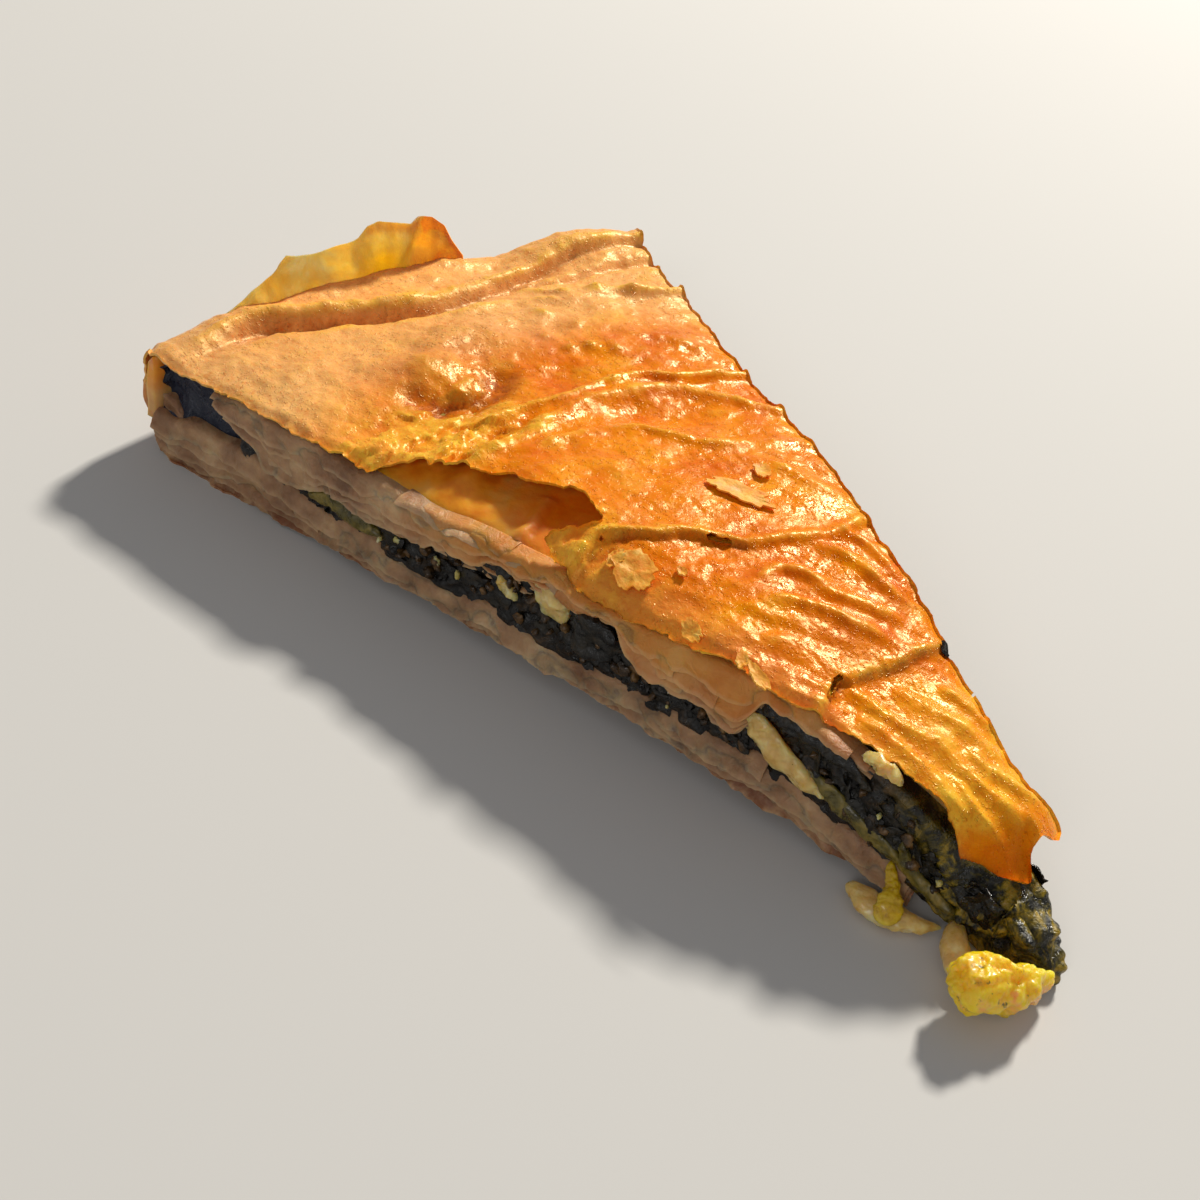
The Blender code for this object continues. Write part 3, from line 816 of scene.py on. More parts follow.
def torn_field(travel, lane):
    """Above zero where there is skin: inside its torn outline and outside the pocket and the cracks."""
    width = half_width_at(travel)
    s, y = from_tip(travel, lane)
    here = flat_points(s, y)
    jag = 0.8 * rough(here, 4.0, 4, 31, 0.6)
    end = travel - TIP_END(lane) + 1.0 * rough(here, 4.4, 3, 32)
    spur = SPUR_REACH * bump(travel - SPUR_RADIUS, SPUR_WIDTH)
    jag = jag * (1 - 0.7 * bump(travel - SPUR_RADIUS, 1.5 * SPUR_WIDTH) * ramp(lane, 0.5, 0.9))
    drawn_back = 2.6 * ramp(-travel, -52, -38) * ramp(travel, 16, 22) + 2.0 * ramp(travel, 187.5, 190)
    left = (lane + 1.0) * width + 0.3 + jag - drawn_back
    right = (1.0 - lane) * width + 0.4 + 0.7 * jag + spur
    pocket = outline_distance(s, y, TORN_POCKET) + 0.55 * rough(here, 2.4, 4, 33, 0.65)
    rough_edge = 0.45 * rough(here, 2.6, 3, 34, 0.6)
    tear_one = np.abs(travel - CRACK_ONE(lane) + 0.3 + rough_edge) - CRACK_ONE_GAPE(lane)
    tear_one = np.where((lane > 0.0) | (lane < -0.75), 5, tear_one)
    tear_two = np.abs(travel - CRACK_TWO(lane) + 0.4 * rough(here, 7, 2, 35, 0.5)) - CRACK_TWO_GAPE(lane)
    return np.minimum.reduce([end, left, right, pocket, tear_one, tear_two])


def blurred(values, passes):
    """Values of a grid averaged with their neighbours several times."""
    for _ in range(passes):
        padded = np.pad(values, 1, mode="edge")
        values = (padded[:-2, 1:-1] + padded[2:, 1:-1] + padded[1:-1, :-2] + padded[1:-1, 2:] + values) / 5
    return values


def skin_brown_and_painted_shade(travel, lane, relief, mottle):
    """How brown each place of the skin is: real browning on the blisters, bumps and rim side, and painted
    shade in the lee of the blisters, the groove, the dents and the cracks.
    """
    s, y = from_tip(travel, lane)
    lee, _ = path_distance(s, y, BLISTER_LEE)
    # Painted shade in the lee below the blisters.
    brown = 0.95 * bump(lee, 4.0)
    # Painted shade in the groove, stronger where the groove is deeper, with some real browning.
    brown += 0.5 * bump(travel - GROOVE(lane) - 0.8, 2.6) * ramp(GROOVE_DEPTH(lane), 0.6, 2.0)
    for middle_s, middle_y, wide_s, wide_y, _ in BLISTERS:
        brown += 0.4 * bump(np.hypot((s - middle_s) / wide_s, (y - middle_y) / wide_y), 1.2) * (1 + mottle)
    for middle_s, middle_y, width, _ in REAR_BUMPS:
        brown += 0.25 * bump(np.hypot(s - middle_s, y - middle_y), width)
    over = np.maximum(travel - FLOW_EDGE, 0)
    # Painted shade in the hollows of the relief; the browning over the rim is real.
    brown += 0.3 * ramp(-relief, 0.25, 1.0) + 0.3 * ramp(over, 4, 12)
    brown += 0.38 * ramp(-lane, 0.45, 0.9) * ramp(travel, 150, 170)
    # Painted shade along the line of crack two and under the lip of crack one.
    brown += 0.8 * bump(travel - CRACK_TWO(lane) + 0.4, 0.9) * ramp(lane, -0.75, -0.6)
    crack_part = ramp(-lane, -0.1, 0.1) * ramp(lane, -0.75, -0.65)
    return brown + 0.7 * bump(travel - CRACK_ONE(lane) + 0.5, 1.1) * crack_part


def skin_yellow(travel, lane, relief, mottle, field):
    """How yellow each place of the skin is: the terraces, torn edges and the tip, with painted light on the
    ridges and painted shade that takes the yellow out of the hollows.
    """
    s, y = from_tip(travel, lane)
    yellow = 0.95 * ramp(-lane, 0.05, 0.4) * ramp(travel, 118, 125) * ramp(-travel, -150, -137)
    # Painted light: the ridges of the relief are yellower.
    yellow += 0.7 * ramp(relief, 0.1, 0.8) + 0.6 * (1 - ramp(field, 0.0, 0.9))
    yellow += 0.7 * bump(np.hypot(s - 90, y + 23) / 7, 1)
    yellow += 0.6 * ramp(-travel, -48, -30) + 0.35 * ramp(mottle, 0.1, 0.6)
    # Painted shade: the hollows of the relief lose their yellow.
    return yellow - 0.6 * ramp(-relief, 0.05, 0.45) - 0.6 * ramp(-travel, -24, -17)


def skin_tones(travel, lane, height, field):
    """How brown, how yellow and how tan each place of the skin is, with painted shade and painted light from
    its relief.
    """
    relief = height - blurred(height, 60)
    mottle = rough(flat_points(*from_tip(travel, lane)), 8, 3, 38)
    tan = 0.8 * ramp(travel, 140, 160) + 0.25 * ramp(-lane, 0.6, 0.95)
    tones = {"brown": skin_brown_and_painted_shade(travel, lane, relief, mottle),
             "yellow": skin_yellow(travel, lane, relief, mottle, field), "tan": tan}
    return {key: np.clip(tone, 0, 1) for key, tone in tones.items()}


def turned_down(travel, lane, height):
    """Points of the skin: over the rim it turns down its side."""
    over = np.maximum(travel - FLOW_EDGE, 0)
    turn = np.clip(over / TURN_LENGTH, 0, math.pi / 2)
    radius = np.minimum(travel, FLOW_EDGE) + TURN_REACH * np.sin(turn) + 0.8 * bump(over - 9, 5)
    straight = np.maximum(over - TURN_LENGTH * math.pi / 2, 0)
    height = height - TURN_REACH * (1 - np.cos(turn)) - 1.05 * straight
    x, y = slice_xy(radius, lane)
    fold = rough(flat_points(y, height * 2.2, 0), 7, 3, 37)
    return flat_points(x - 0.9 * fold * ramp(over, 1, 5), y, height)


def top_skin():
    """The browned skin, over the rim and down its side, torn at the pocket, the cracks and the tip."""
    steps, lanes = SKIN_GRID
    travel = np.linspace(SKIN_START, SKIN_FINISH, steps)[:, None] + np.zeros(lanes)
    beyond = SKIN_BEYOND + SPUR_REACH * bump(travel - SPUR_RADIUS, 2.2 * SPUR_WIDTH)
    lane = np.linspace(-1, 1, lanes)[None, :] * (1 + beyond / half_width_at(travel))
    step_length = (SKIN_FINISH - SKIN_START) / (steps - 1)
    spans = (step_length, np.gradient(lane, axis=1) * half_width_at(travel))
    field = torn_field(travel, lane)
    step_first, step_second, kept = snap_to_edge(field, spans)
    travel = travel + step_first
    lane = lane + step_second / half_width_at(travel)
    height = top_height(np.minimum(travel, FLOW_EDGE), lane)
    tones = skin_tones(travel, lane, height, field)
    height -= 0.8 * (1 - ramp(field, 0.0, 2.2)) * ramp(-lane, 0.8, 0.95)
    points = turned_down(travel, lane, height)
    piece = mesh_object("top_skin", points.reshape(-1, 3), grid_faces(steps, lanes, kept), tones)
    tidy_mesh(piece)
    thicken(piece, SKIN_THICKNESS, rim_only=True)
    return dress(piece, skin_material(), "top_crust")


# ---------------------------------------------------------------- solid layers
# Radii where the filling and the sheets over it end, point counts of the meshes along, across and up, and
# the fold of the amber sheets in the pocket as (s, y) places.
FILLING_END = 186.4
CORE_END = 189.4
FILLING_GRID = (430, 24, 36)
BOTTOM_GRID = (250, 64, 10)
CORE_GRID = (290, 84, 8)
POCKET_RIB = ((106.0, -19.0), (103.0, -24.0), (101.0, -29.0))


def box_mesh(name, counts, place, values):
    """A closed mesh over the outside of a block, each point put where place(u, v, w) says (0 to 1)."""
    index = -np.ones(counts, dtype=np.int64)
    inside = np.zeros(counts, dtype=bool)
    inside[1:-1, 1:-1, 1:-1] = True
    index[~inside] = np.arange(np.count_nonzero(~inside))
    parts = np.argwhere(~inside) / (np.array(counts) - 1)
    faces = []
    for axis, end in itertools.product(range(3), (0, -1)):
        quads = quads_between(np.take(index, end, axis=axis))
        flip = (end == 0) == (axis != 1)
        faces.append(quads[:, ::-1] if flip else quads)
    points = place(*parts.T)
    return mesh_object(name, points, np.concatenate(faces), values(*parts.T, points))


def push_out(x, y, across, distance):
    """Move places beside a cut straight out of it by a distance."""
    side = np.where(across < 0, -1.0, 1.0)
    share = np.abs(across) ** 10
    step = distance * share
    return x + math.sin(HALF_ANGLE) * step, y + side * math.cos(HALF_ANGLE) * step


def hollow_rear(radius, across):
    """1 where the rear of the left cut is an empty hollow, set back and given painted shade."""
    return ramp(radius, 162, 170) * ramp(-radius, -187.4, -185.6) * ramp(-across, 0.5, 0.8)


def filling_heights(radius, across):
    """Lowest and highest place of the filling, hanging lower and reaching higher beside the left cut."""
    low = filling_base(radius) + 0.2
    high = filling_top(radius) - sink(radius, across) - 0.1
    beside = ramp(-across, 0.6, 0.95) * ramp(radius, 14, 24)
    low = low + (np.minimum(left_base(radius), low) - 0.6 - low) * beside
    high = high + (np.maximum(left_hem(radius) + 1.5, low + 1.5) - high) * beside
    lid = top_height(radius, across, fine=False) - 1.6
    high = np.where(radius > 11, np.minimum(high, lid), high)
    high = high - 3.0 * ramp(across, 0.1, 0.9) * ramp(-radius, -22, -15) * ramp(radius, 3, 8)
    return low, np.maximum(high, low + 0.3)


def filling_lumps(here, radius, across, w):
    """How far the greens bulge out of a cut: less at their top, at their foot and in the rear hollow."""
    lumps = 1.7 * np.abs(noise_at(here, 5.2, 41)) + 1.1 * np.abs(noise_at(here, 2.7, 42))
    lumps = lumps + 0.7 * np.abs(noise_at(here, 1.4, 43))
    lumps = lumps * (1 - 0.75 * hollow_rear(radius, across))
    belly = np.sin(np.pi * np.clip(w, 0.02, 0.98)) ** 0.4
    most = 1.9 - 2.6 * ramp(w, 0.6, 0.95) - 2.0 * ramp(-w, -0.3, -0.05)
    most = most - 2.5 * ramp(across, 0.5, 1.0) * ramp(-radius, -24, -16)
    return (np.minimum(1.9 * lumps - 2.0, most) - 2.6 * hollow_rear(radius, across)) * belly


def filling():
    """Wet, lumpy greens between the crusts, bare and spread out at the tip."""
    def place(u, v, w):
        across = v * 2 - 1
        start = 1.0 + 3 * w * w + 3 * across * across
        radius = start + (FILLING_END - start) * u
        low, high = filling_heights(radius, across)
        z = low + (high - low) * w
        x, y = slice_xy(radius, across)
        here = flat_points(x, y, z)
        x, y = push_out(x, y, across, filling_lumps(here, radius, across, w))
        ball = 1.6 * np.abs(noise_at(here, 5.5, 45)) + 0.9 * np.abs(noise_at(here, 2.4, 46)) - 0.5
        ball = ball * ramp(-radius, -24, -10)
        z = z + 1.3 * ball * ramp(w, 0.2, 0.9)
        return flat_points(x + 1.5 * ball, y + 1.5 * ball * across, np.maximum(z, 0.12))

    def values(u, v, w, points):
        radius = FILLING_END * u
        # Painted shade in the rear hollow.
        return {"painted_hollow_shade": hollow_rear(radius, v * 2 - 1), "tip": ramp(-radius, -30, -12)}

    piece = box_mesh("filling", FILLING_GRID, place, values)
    return dress(piece, filling_material(), "spinach_filling")


def bottom_stack():
    """Bottom sheets as one body: pale at the cuts, browned and flaky underneath and at the rim."""
    def place(u, v, w):
        across = v * 2 - 1
        start = 24 + across * 2
        radius = start + (PIE_RADIUS - start) * u
        low = underside(radius) + 0.15
        high = filling_base(radius) - 0.4
        beside = ramp(-across, 0.8, 1.0) * ramp(-radius, -188, -176)
        high = np.maximum(high + (left_base(radius) - 0.6 - high) * beside, low + 0.4)
        z = low + (high - low) * w
        bulge = 1.9 * ramp(radius, 178, 188) * np.sin(math.pi * w / 2)
        x, y = slice_xy(radius + bulge, across)
        here = flat_points(x, y, z)
        x, y = push_out(x, y, across, 1.1 * rough(here, 7, 3, 52) - 1.6)
        ragged = np.maximum(0.6 * rough(flat_points(x, y), 6, 3, 53), -0.1)
        specks = 0.35 * np.maximum(noise_at(here, 2.2, 54), 0)
        return flat_points(x, y, z + ramp(-w, -0.2, 0.0) * (ragged + specks))

    def values(u, v, w, points):
        rim = ramp(u, 0.985, 0.998)
        return {"brown": np.clip(1 - w * 2.2 + 0.6 * rim, 0, 1), "warm": 0.8 * rim, "pale": 0 * u}

    piece = box_mesh("bottom_stack", BOTTOM_GRID, place, values)
    return dress(piece, sheet_material("bottom_phyllo", 0.55), "bottom_crust")


def pocket_depth(radius, across):
    """How far the sheets under the skin lie below it."""
    s, y = from_tip(radius, across)
    depth = 1.1 + 3.6 * bump(np.hypot((s - 103) / 14, (y + 19) / 9), 1) ** 0.7
    rib, _ = path_distance(s, y, POCKET_RIB)
    depth = depth - 1.1 * bump(rib, 1.2) * ramp(depth, 1.5, 3)
    crumple = 0.5 * rough(flat_points(s, y), 6, 3, 57)
    return np.maximum(depth + crumple * ramp(depth, 1.3, 2.5), 0.9)


def crust_core():
    """Sheets and air under the skin: amber where the pocket shows them, and the rim's wall at the cut."""
    def place(u, v, w):
        across = v * 2 - 1
        start = 20 - 2 * across + 22 * ramp(-across, 0.2, 0.8)
        radius = start + (CORE_END - start) * u
        wall = ramp(radius, 185.6, 186.6)
        low = np.minimum(filling_top(radius) - sink(radius, across), 17) - 1.0
        low = low + (6.0 - low) * wall
        high = top_height(radius, across, fine=False) - pocket_depth(radius, across)
        over = np.clip((radius - FLOW_EDGE) / TURN_REACH, 0, 1)
        high = np.maximum(high - TURN_REACH * (1 - np.sqrt(1 - over ** 2)), low + 0.2)
        z = low + (high - low) * w
        x, y = slice_xy(radius, across)
        inward = 2.2 + 3.0 * hollow_rear(radius, across) - 1.6 * wall
        x, y = push_out(x, y, across, 0.9 * rough(flat_points(x, y, z), 7, 2, 56) - inward)
        return flat_points(x, y, z)

    def values(u, v, w, points):
        s = TIP_X - points[:, 0]
        rib, _ = path_distance(s, points[:, 1], POCKET_RIB)
        amber = ramp(w, 0.3, 0.8) * (1 - 0.15 * bump(rib, 0.8))
        # Painted light: gold on the parts of the pocket's floor that light reaches.
        painted_light_gold = np.clip(ramp(s, 103, 112) + ramp(-points[:, 1], 24, 31), 0, 1)
        # Painted shade in the rear hollow.
        return {"amber": amber, "painted_light_gold": painted_light_gold, "painted_hollow_shade": hollow_rear(s / math.cos(HALF_ANGLE), v * 2 - 1)}

    return dress(box_mesh("crust_core", CORE_GRID, place, values), amber_material())


# ---------------------------------------------------------------- ruffled sheets at the cuts
SHEET_THICKNESS = 0.42
# Sheets between the filling and the skin: share of the way up to the skin, first and last radius, how far
# each stands out, and how much shorter it hangs than the hem (0 to 1).
UPPER_SHEETS = (
    (0.12, 38, 158, -0.9, 0.0), (0.28, 96, 166, -0.5, 0.05), (0.34, 36, 96, -0.6, 0.0),
    (0.48, 86, 168, -0.1, 0.2), (0.56, 36, 90, -0.2, 0.12), (0.66, 62, 169, 0.3, 0.38),
    (0.80, 37, 74, 0.3, 0.35), (0.84, 70, 170, 0.5, 0.55), (0.92, 40, 112, 0.7, 0.62),
    (0.94, 104, 171, 0.2, 0.74),
)
# Browning of the bottom crust's sheets, from the lowest up, and the radii they run between.
LOWER_BROWNS = (1.0, 0.45, 0.1, 0.0, 0.0)
LOWER_SPAN = (24, 187)


def cut_point(radius, side, out, z):
    """A point beside a cut: side is -1 or 1 and out is how far it stands out of the cut."""
    x, y = slice_xy(radius, side * np.ones_like(radius))
    return flat_points(x + out * math.sin(HALF_ANGLE), y + side * out * math.cos(HALF_ANGLE), z)


def draped_sheet(side, span, level, hem, reach, seed, inset=3.0, step=0.55, lanes=15, skip=0.5, soft=1.0):
    """Points and faces of one soft sheet that comes out of a cut, bends and hangs down to its hem."""
    first, last = span
    count = int((last - first) / step)
    radius = (first + (last - first) * np.linspace(0, 1, count))[:, None] + np.zeros(lanes)
    run = (np.linspace(0, 1, lanes) ** 0.85)[None, :] + np.zeros((count, 1))
    line = flat_points(radius, seed * 40.0)
    ragged = 0.9 * noise_at(line, 7, seed + 6) + 0.45 * noise_at(line, 2.4, seed + 3)
    ragged = ragged + 0.2 * noise_at(line, 1.1, seed)
    hang = np.maximum(level(radius) - hem(radius) + ragged, 0.35)
    reach_here = reach + 0.9 * noise_at(line, 16, seed + 1) + 0.5 * noise_at(line, 6, seed + 2)
    flat_part = inset + np.maximum(reach_here, -1.6)
    length = flat_part + hang

    # The sheet runs flat, bends over and drops, always as long as its flat part and its hang together.
    bend = flat_part / length
    turn = np.clip(1.3 / length, 0.02, 0.3)
    angle = np.radians(72 + 34 * noise_at(line, 13, seed + 7)) * ramp(run, bend - turn, bend + turn)
    waver = noise_at(flat_points(radius, run * hang, seed), 5.5, seed + 9)
    angle = angle + 0.45 * soft * waver * ramp(run, 0.4, 1)
    pace = np.diff(run, axis=1, prepend=0.0) * length
    out = np.cumsum(np.cos(angle) * pace, axis=1) - inset
    drop = np.cumsum(np.sin(angle) * pace, axis=1)

    # Waves, creases, wrinkles and pleats along the part that hangs outside.
    outside = ramp(run, bend - turn, 1)
    wave = noise_at(flat_points(radius + 0.5 * drop, seed * 3.0), 9, seed + 11)
    crease = np.abs(noise_at(flat_points(radius + 0.8 * drop, drop * 0.4, seed), 6.5, seed + 12))
    out = out + soft * (1.3 * wave - 1.5 * crease + 0.35) * outside
    out = out + 0.6 * rough(flat_points(radius + 0.6 * drop, drop * 1.2, seed), 3.4, 3, seed + 17) * outside
    pleat = np.abs(noise_at(flat_points(radius + 1.1 * drop, drop * 0.3, seed), 3.3, seed + 23))
    out = out + soft * 1.3 * (0.3 - pleat) * outside
    waver = noise_at(flat_points(radius, out, seed), 8, seed + 13)
    z = level(radius) - drop + 0.5 * soft * waver * (0.3 + outside)
    points = cut_point(radius, side, out, np.maximum(z, 0.15))
    kept = noise_at(flat_points(radius, seed * 9.0), 18, seed + 15)[:-1, :-1] <= skip
    return points.reshape(-1, 3), grid_faces(count, lanes, kept), ramp(run, 0.75, 1.0).ravel(), radius.ravel()


def join_sheets(name, sheets, thickness, material, browns=None, warmths=None):
    """One object from several sheets, pale at their hems, each with its own browning and warmth."""
    points, faces = [], []
    tones = {"brown": [], "warm": [], "pale": []}
    count = 0
    for number, (sheet_points, sheet_faces, hem, *_) in enumerate(sheets):
        points.append(sheet_points)
        faces.append(sheet_faces + count)
        tones["brown"].append(0 * hem + (browns[number] if browns else 0.0))
        tones["warm"].append(0 * hem + (warmths[number] if warmths else 0.0))
        tones["pale"].append(0.22 * ramp(hem, 0.5, 1.0))
        count += len(sheet_points)
    attributes = {key: np.clip(np.concatenate(values), 0, 1) for key, values in tones.items()}
    piece = mesh_object(name, np.concatenate(points), np.concatenate(faces), attributes)
    tidy_mesh(piece)
    thicken(piece, thickness, offset=0.0)
    return dress(piece, material)


def skin_line(radius, side):
    """Height of the skin at a cut."""
    return top_height(radius, side * np.ones_like(radius), fine=False)


def filling_line(radius, side):
    """Height of the filling at a cut, below the sheets that hang over it."""
    if side < 0:
        return np.minimum(left_hem(radius), filling_top(radius) - left_sink(radius))
    return filling_top(radius) - right_sink(radius) - 1.5


def upper_sheets(side, material, seed, step, lanes, chosen):
    """Soft sheets between the skin and the filling, hanging over it."""
    sheets, warmths = [], []
    for number in chosen:
        share, first, last, reach, shorter = UPPER_SHEETS[number]

        def level(radius):
            low = filling_line(radius, side) + 0.3
            return low + np.maximum(skin_line(radius, side) - 0.7 - low, 0.3) * share

        def hem(radius):
            low = left_hem(radius) if side < 0 else filling_line(radius, side)
            return low + (level(radius) - low) * shorter

        sheet = draped_sheet(side, (first, last), level, hem, reach, seed + number * 20, step=step,
                             lanes=lanes)
        radius = sheet[3]
        sheets.append(sheet)
        warmths.append(share * ramp(radius, 30, 55) * ramp(-radius, -135, -105))
    name = "upper_sheets_" + ("left_" if side < 0 else "right_") + str(chosen[0])
    return join_sheets(name, sheets, SHEET_THICKNESS, material, warmths=warmths)


def lower_sheets(side, material, seed, step, lanes):
    """Sheets of the bottom crust, soft above and browned underneath."""
    sheets = []
    first, last = LOWER_SPAN
    for layer in range(len(LOWER_BROWNS)):
        share = (layer + 0.15) / (len(LOWER_BROWNS) - 0.6)

        def level(radius):
            low = underside(radius) + 0.7
            high = left_base(radius) if side < 0 else filling_base(radius)
            return low + (high - low) * share

        def hem(radius):
            return level(radius) - 1.4 - 2.0 * share

        span = (first + 2 * share, last)
        sheets.append(draped_sheet(side, span, level, hem, -0.2 - 0.2 * share, seed + layer * 20, step=step,
                                   lanes=lanes, skip=0.45, soft=0.6))
    name = "lower_sheets_" + ("left" if side < 0 else "right")
    return join_sheets(name, sheets, SHEET_THICKNESS, material, browns=LOWER_BROWNS)


def amber_drape(material):
    """The oily sheet that shows in the torn pocket and runs out over the cut."""
    def level(radius):
        return skin_line(radius, -1) - 1.0 - 1.6 * bump(radius - 108, 10)

    def hem(radius):
        return 20.8 + 1.8 * np.sin(radius / 3.1) + 0.02 * radius

    sheet = draped_sheet(-1, (93, 127), level, hem, 0.9, 860, inset=10, step=0.4, lanes=40, skip=2)
    warmth = ramp(sheet[0][:, 2], 20.5, 24.0)
    return join_sheets("pocket_sheet", [sheet], 0.4, material, warmths=[warmth])


# ---------------------------------------------------------------- lumps and leaves on the cuts
# Each lump: name, path of (radius, height) places, half widths along it, half thickness, how far it stands
# out, seed, how lumpy it is, its material, its slot, and how many rings its mesh has and places each ring.
LUMPS = (
    ("curled_onion", ((95.2, 22.0), (95.4, 19.6), (94.2, 17), (91.8, 14.6)), (2.3, 3.5, 3.3, 1.9),
     1.3, -0.1, 701, 1.5, "cooked_onion", "onion", (70, 36)),
    ("curled_side", ((94, 20.8), (91, 20.6), (88, 20.2), (85.5, 20.0)), (1.6, 2.0, 1.6, 0.9),
     1.0, 0.4, 711, 0.6, "pale_phyllo", "top_crust", (60, 30)),
    ("dark_lump", ((84.0, 20.0), (85, 17.5), (85.5, 14.5), (85, 11)), (3.2, 4.7, 4.8, 3.2),
     2.0, 0.1, 702, 2.2, "spinach_leaf", "spinach_filling", (90, 60)),
    ("folded_sheet", ((56.5, 19.8), (54, 17.0), (50.5, 14.6), (46, 12.9), (41.5, 11.6)),
     (1.5, 2.5, 2.6, 2.0, 0.9), 1.2, 0.5, 703, 0.9, "cooked_onion", "onion", (110, 48)),
    ("dark_leaf", ((56, 19.4), (53.5, 22.0), (50, 20.6), (45, 20.4), (40, 20.2), (35, 17.6)),
     (0.7, 1.5, 1.3, 1.7, 1.5, 0.8), 0.9, 0.1, 704, 1.1, "spinach_leaf", "spinach_filling", (110, 36)),
    ("olive_vein", ((46, 14.5), (41, 12.6), (35, 10.0), (29, 8.6), (25, 6.5)), (1.0, 1.8, 1.5, 1.2, 0.7),
     0.7, 0.0, 705, 0.7, "olive_greens", "spinach_filling", (80, 30)),
    ("tip_onion", ((28.4, 12.0), (26.8, 8.6), (24.2, 6.6), (20.5, 5.4), (17.0, 4.6)),
     (0.7, 1.2, 1.3, 1.2, 0.8), 0.8, 0.1, 706, 0.5, "olive_greens", "onion", (70, 30)),
    ("hem_lump", ((38.6, 22.4), (36.0, 22.3), (33.5, 21.8), (31.6, 20.8)), (0.7, 1.5, 1.3, 0.7),
     1.1, -0.9, 707, 1.2, "cooked_onion", "top_crust", (60, 36)),
    ("green_leaf", ((148, 10.5), (142, 11.5), (136, 10.8), (131, 10.4)), (0.9, 2.0, 1.8, 0.8),
     0.9, -0.2, 708, 1.0, "olive_greens", "spinach_filling", (80, 36)),
    ("small_crumb", ((105.5, 17.2), (104, 15.2), (101.5, 13.8)), (0.7, 1.1, 0.8),
     0.7, 0.0, 709, 0.6, "cooked_onion", "onion", (60, 28)),
)
# Places along each side of a leaf, its thickness, and a small ball's rings and places in each.
LEAF_GRID = 11
LEAF_THICKNESS = 0.22
BALL_GRID = (10, 14)


def cut_lump(name, path, half_widths, thickness, out, seed, lumps, material, counts):
    """A soft strip or lump that follows a path of (radius, height) places over the left cut."""
    rings, places = counts
    along = (1 - np.cos(np.linspace(0, math.pi, rings))) / 2
    radius, height = (smoothed(spread_along(values, along), 3) for values in np.array(path, dtype=float).T)
    step_r, step_z = np.gradient(radius), np.gradient(height)
    length = np.maximum(np.hypot(step_r, step_z), 1e-6)
    round_off = np.sqrt(np.clip(1 - (2 * along - 1) ** 6, 0.0005, 1))[:, None]
    turn = full_turn(places)[None, :]
    beside = spread_along(half_widths, along)[:, None] * round_off * np.cos(turn)
    raised = thickness * round_off * np.sin(turn)
    r = radius[:, None] - (step_z / length)[:, None] * beside
    z = height[:, None] + (step_r / length)[:, None] * beside
    wobble = lumps * rough(flat_points(r, z, raised), max(half_widths) * 1.6, 4, seed)
    points = cut_point(r + wobble * np.cos(turn) * 0.5, -1, raised + out + wobble, np.maximum(z, 0.1))
    zero = np.zeros(rings * places)
    piece = mesh_object(name, points.reshape(-1, 3), tube_faces(rings, places),
                        {"brown": zero, "warm": 0.5 + zero, "pale": zero})
    return dress(piece, material)


def filling_span(radius, side):
    """Lowest and highest place where the filling shows at a cut."""
    place = np.array([radius])
    if side < 0:
        return float(left_base(place)[0]), float(left_hem(place)[0])
    return float(filling_base(place)[0]), float(filling_line(place, side)[0])


def leaf_bits(name, side, count, seed, material):
    """Crumpled scraps of leaf that stick out of the filling at a cut."""
    draw = np.random.default_rng(seed)
    sheets = []
    grid = np.linspace(-1, 1, LEAF_GRID)
    u, v = np.meshgrid(grid, grid, indexing="ij")
    for number in range(count):
        radius = 12 + 150 * draw.random() ** 1.1
        low, high = filling_span(radius, side)
        z = low + (high - low) * (0.1 + 0.8 * draw.random())
        size = 1.4 + 2.4 * draw.random()
        turn = draw.random() * math.pi * 2
        tilt = (draw.random() - 0.5) * 2.4
        shape = 1 + 0.3 * rough(flat_points(u, v, number), 0.9, 2, seed + number)
        along = (u * math.cos(turn) - v * math.sin(turn) * 0.6) * size * shape
        up = (u * math.sin(turn) + v * math.cos(turn) * 0.6) * size * 0.8 * shape
        crumple = rough(flat_points(along, up, number * 3.0), 2.4, 3, seed + number)
        out = crumple - 0.5 + tilt * (along / size) * 0.5
        points = cut_point(radius + along, side, out, np.clip(z + up, low + 0.2, high))
        sheets.append((points.reshape(-1, 3), grid_faces(LEAF_GRID, LEAF_GRID), np.zeros(LEAF_GRID ** 2)))
    return join_sheets(name, sheets, LEAF_THICKNESS, material)


def filling_bits(name, side, count, span, sizes, seed, material):
    """Small lumps of cheese, onion or chopped greens in the filling."""
    draw = np.random.default_rng(seed)
    first, last = span
    smallest, largest = sizes
    points, faces = [], []
    rings, places = BALL_GRID
    down = np.linspace(0.02, math.pi - 0.02, rings)[:, None]
    turn = full_turn(places)[None, :]
    ball = flat_points(np.sin(down) * np.cos(turn), np.sin(down) * np.sin(turn), np.cos(down))
    for number in range(count):
        radius = first + (last - first) * draw.random()
        low, high = filling_span(radius, side)
        size = smallest + (largest - smallest) * draw.random(3) ** 1.5
        z = low + size[2] + max(high - low - 2 * size[2], 0) * draw.random()
        dents = rough(ball * 1.2 + number * 3.0, 1.1, 3, seed, 0.7)
        body = ball * size * (1 + 0.55 * dents)[..., None]
        heading = draw.random() * math.pi
        along, up = turned(body[..., 0], body[..., 2], heading)
        spot = cut_point(radius + along, side, -0.5 + 0.5 * draw.random() + body[..., 1], z + up)
        points.append(spot.reshape(-1, 3))
        faces.append(tube_faces(rings, places) + rings * places * number)
    zero = np.zeros(rings * places * count)
    piece = mesh_object(name, np.concatenate(points), np.concatenate(faces), {"brown": zero, "warm": zero})
    return dress(piece, material)


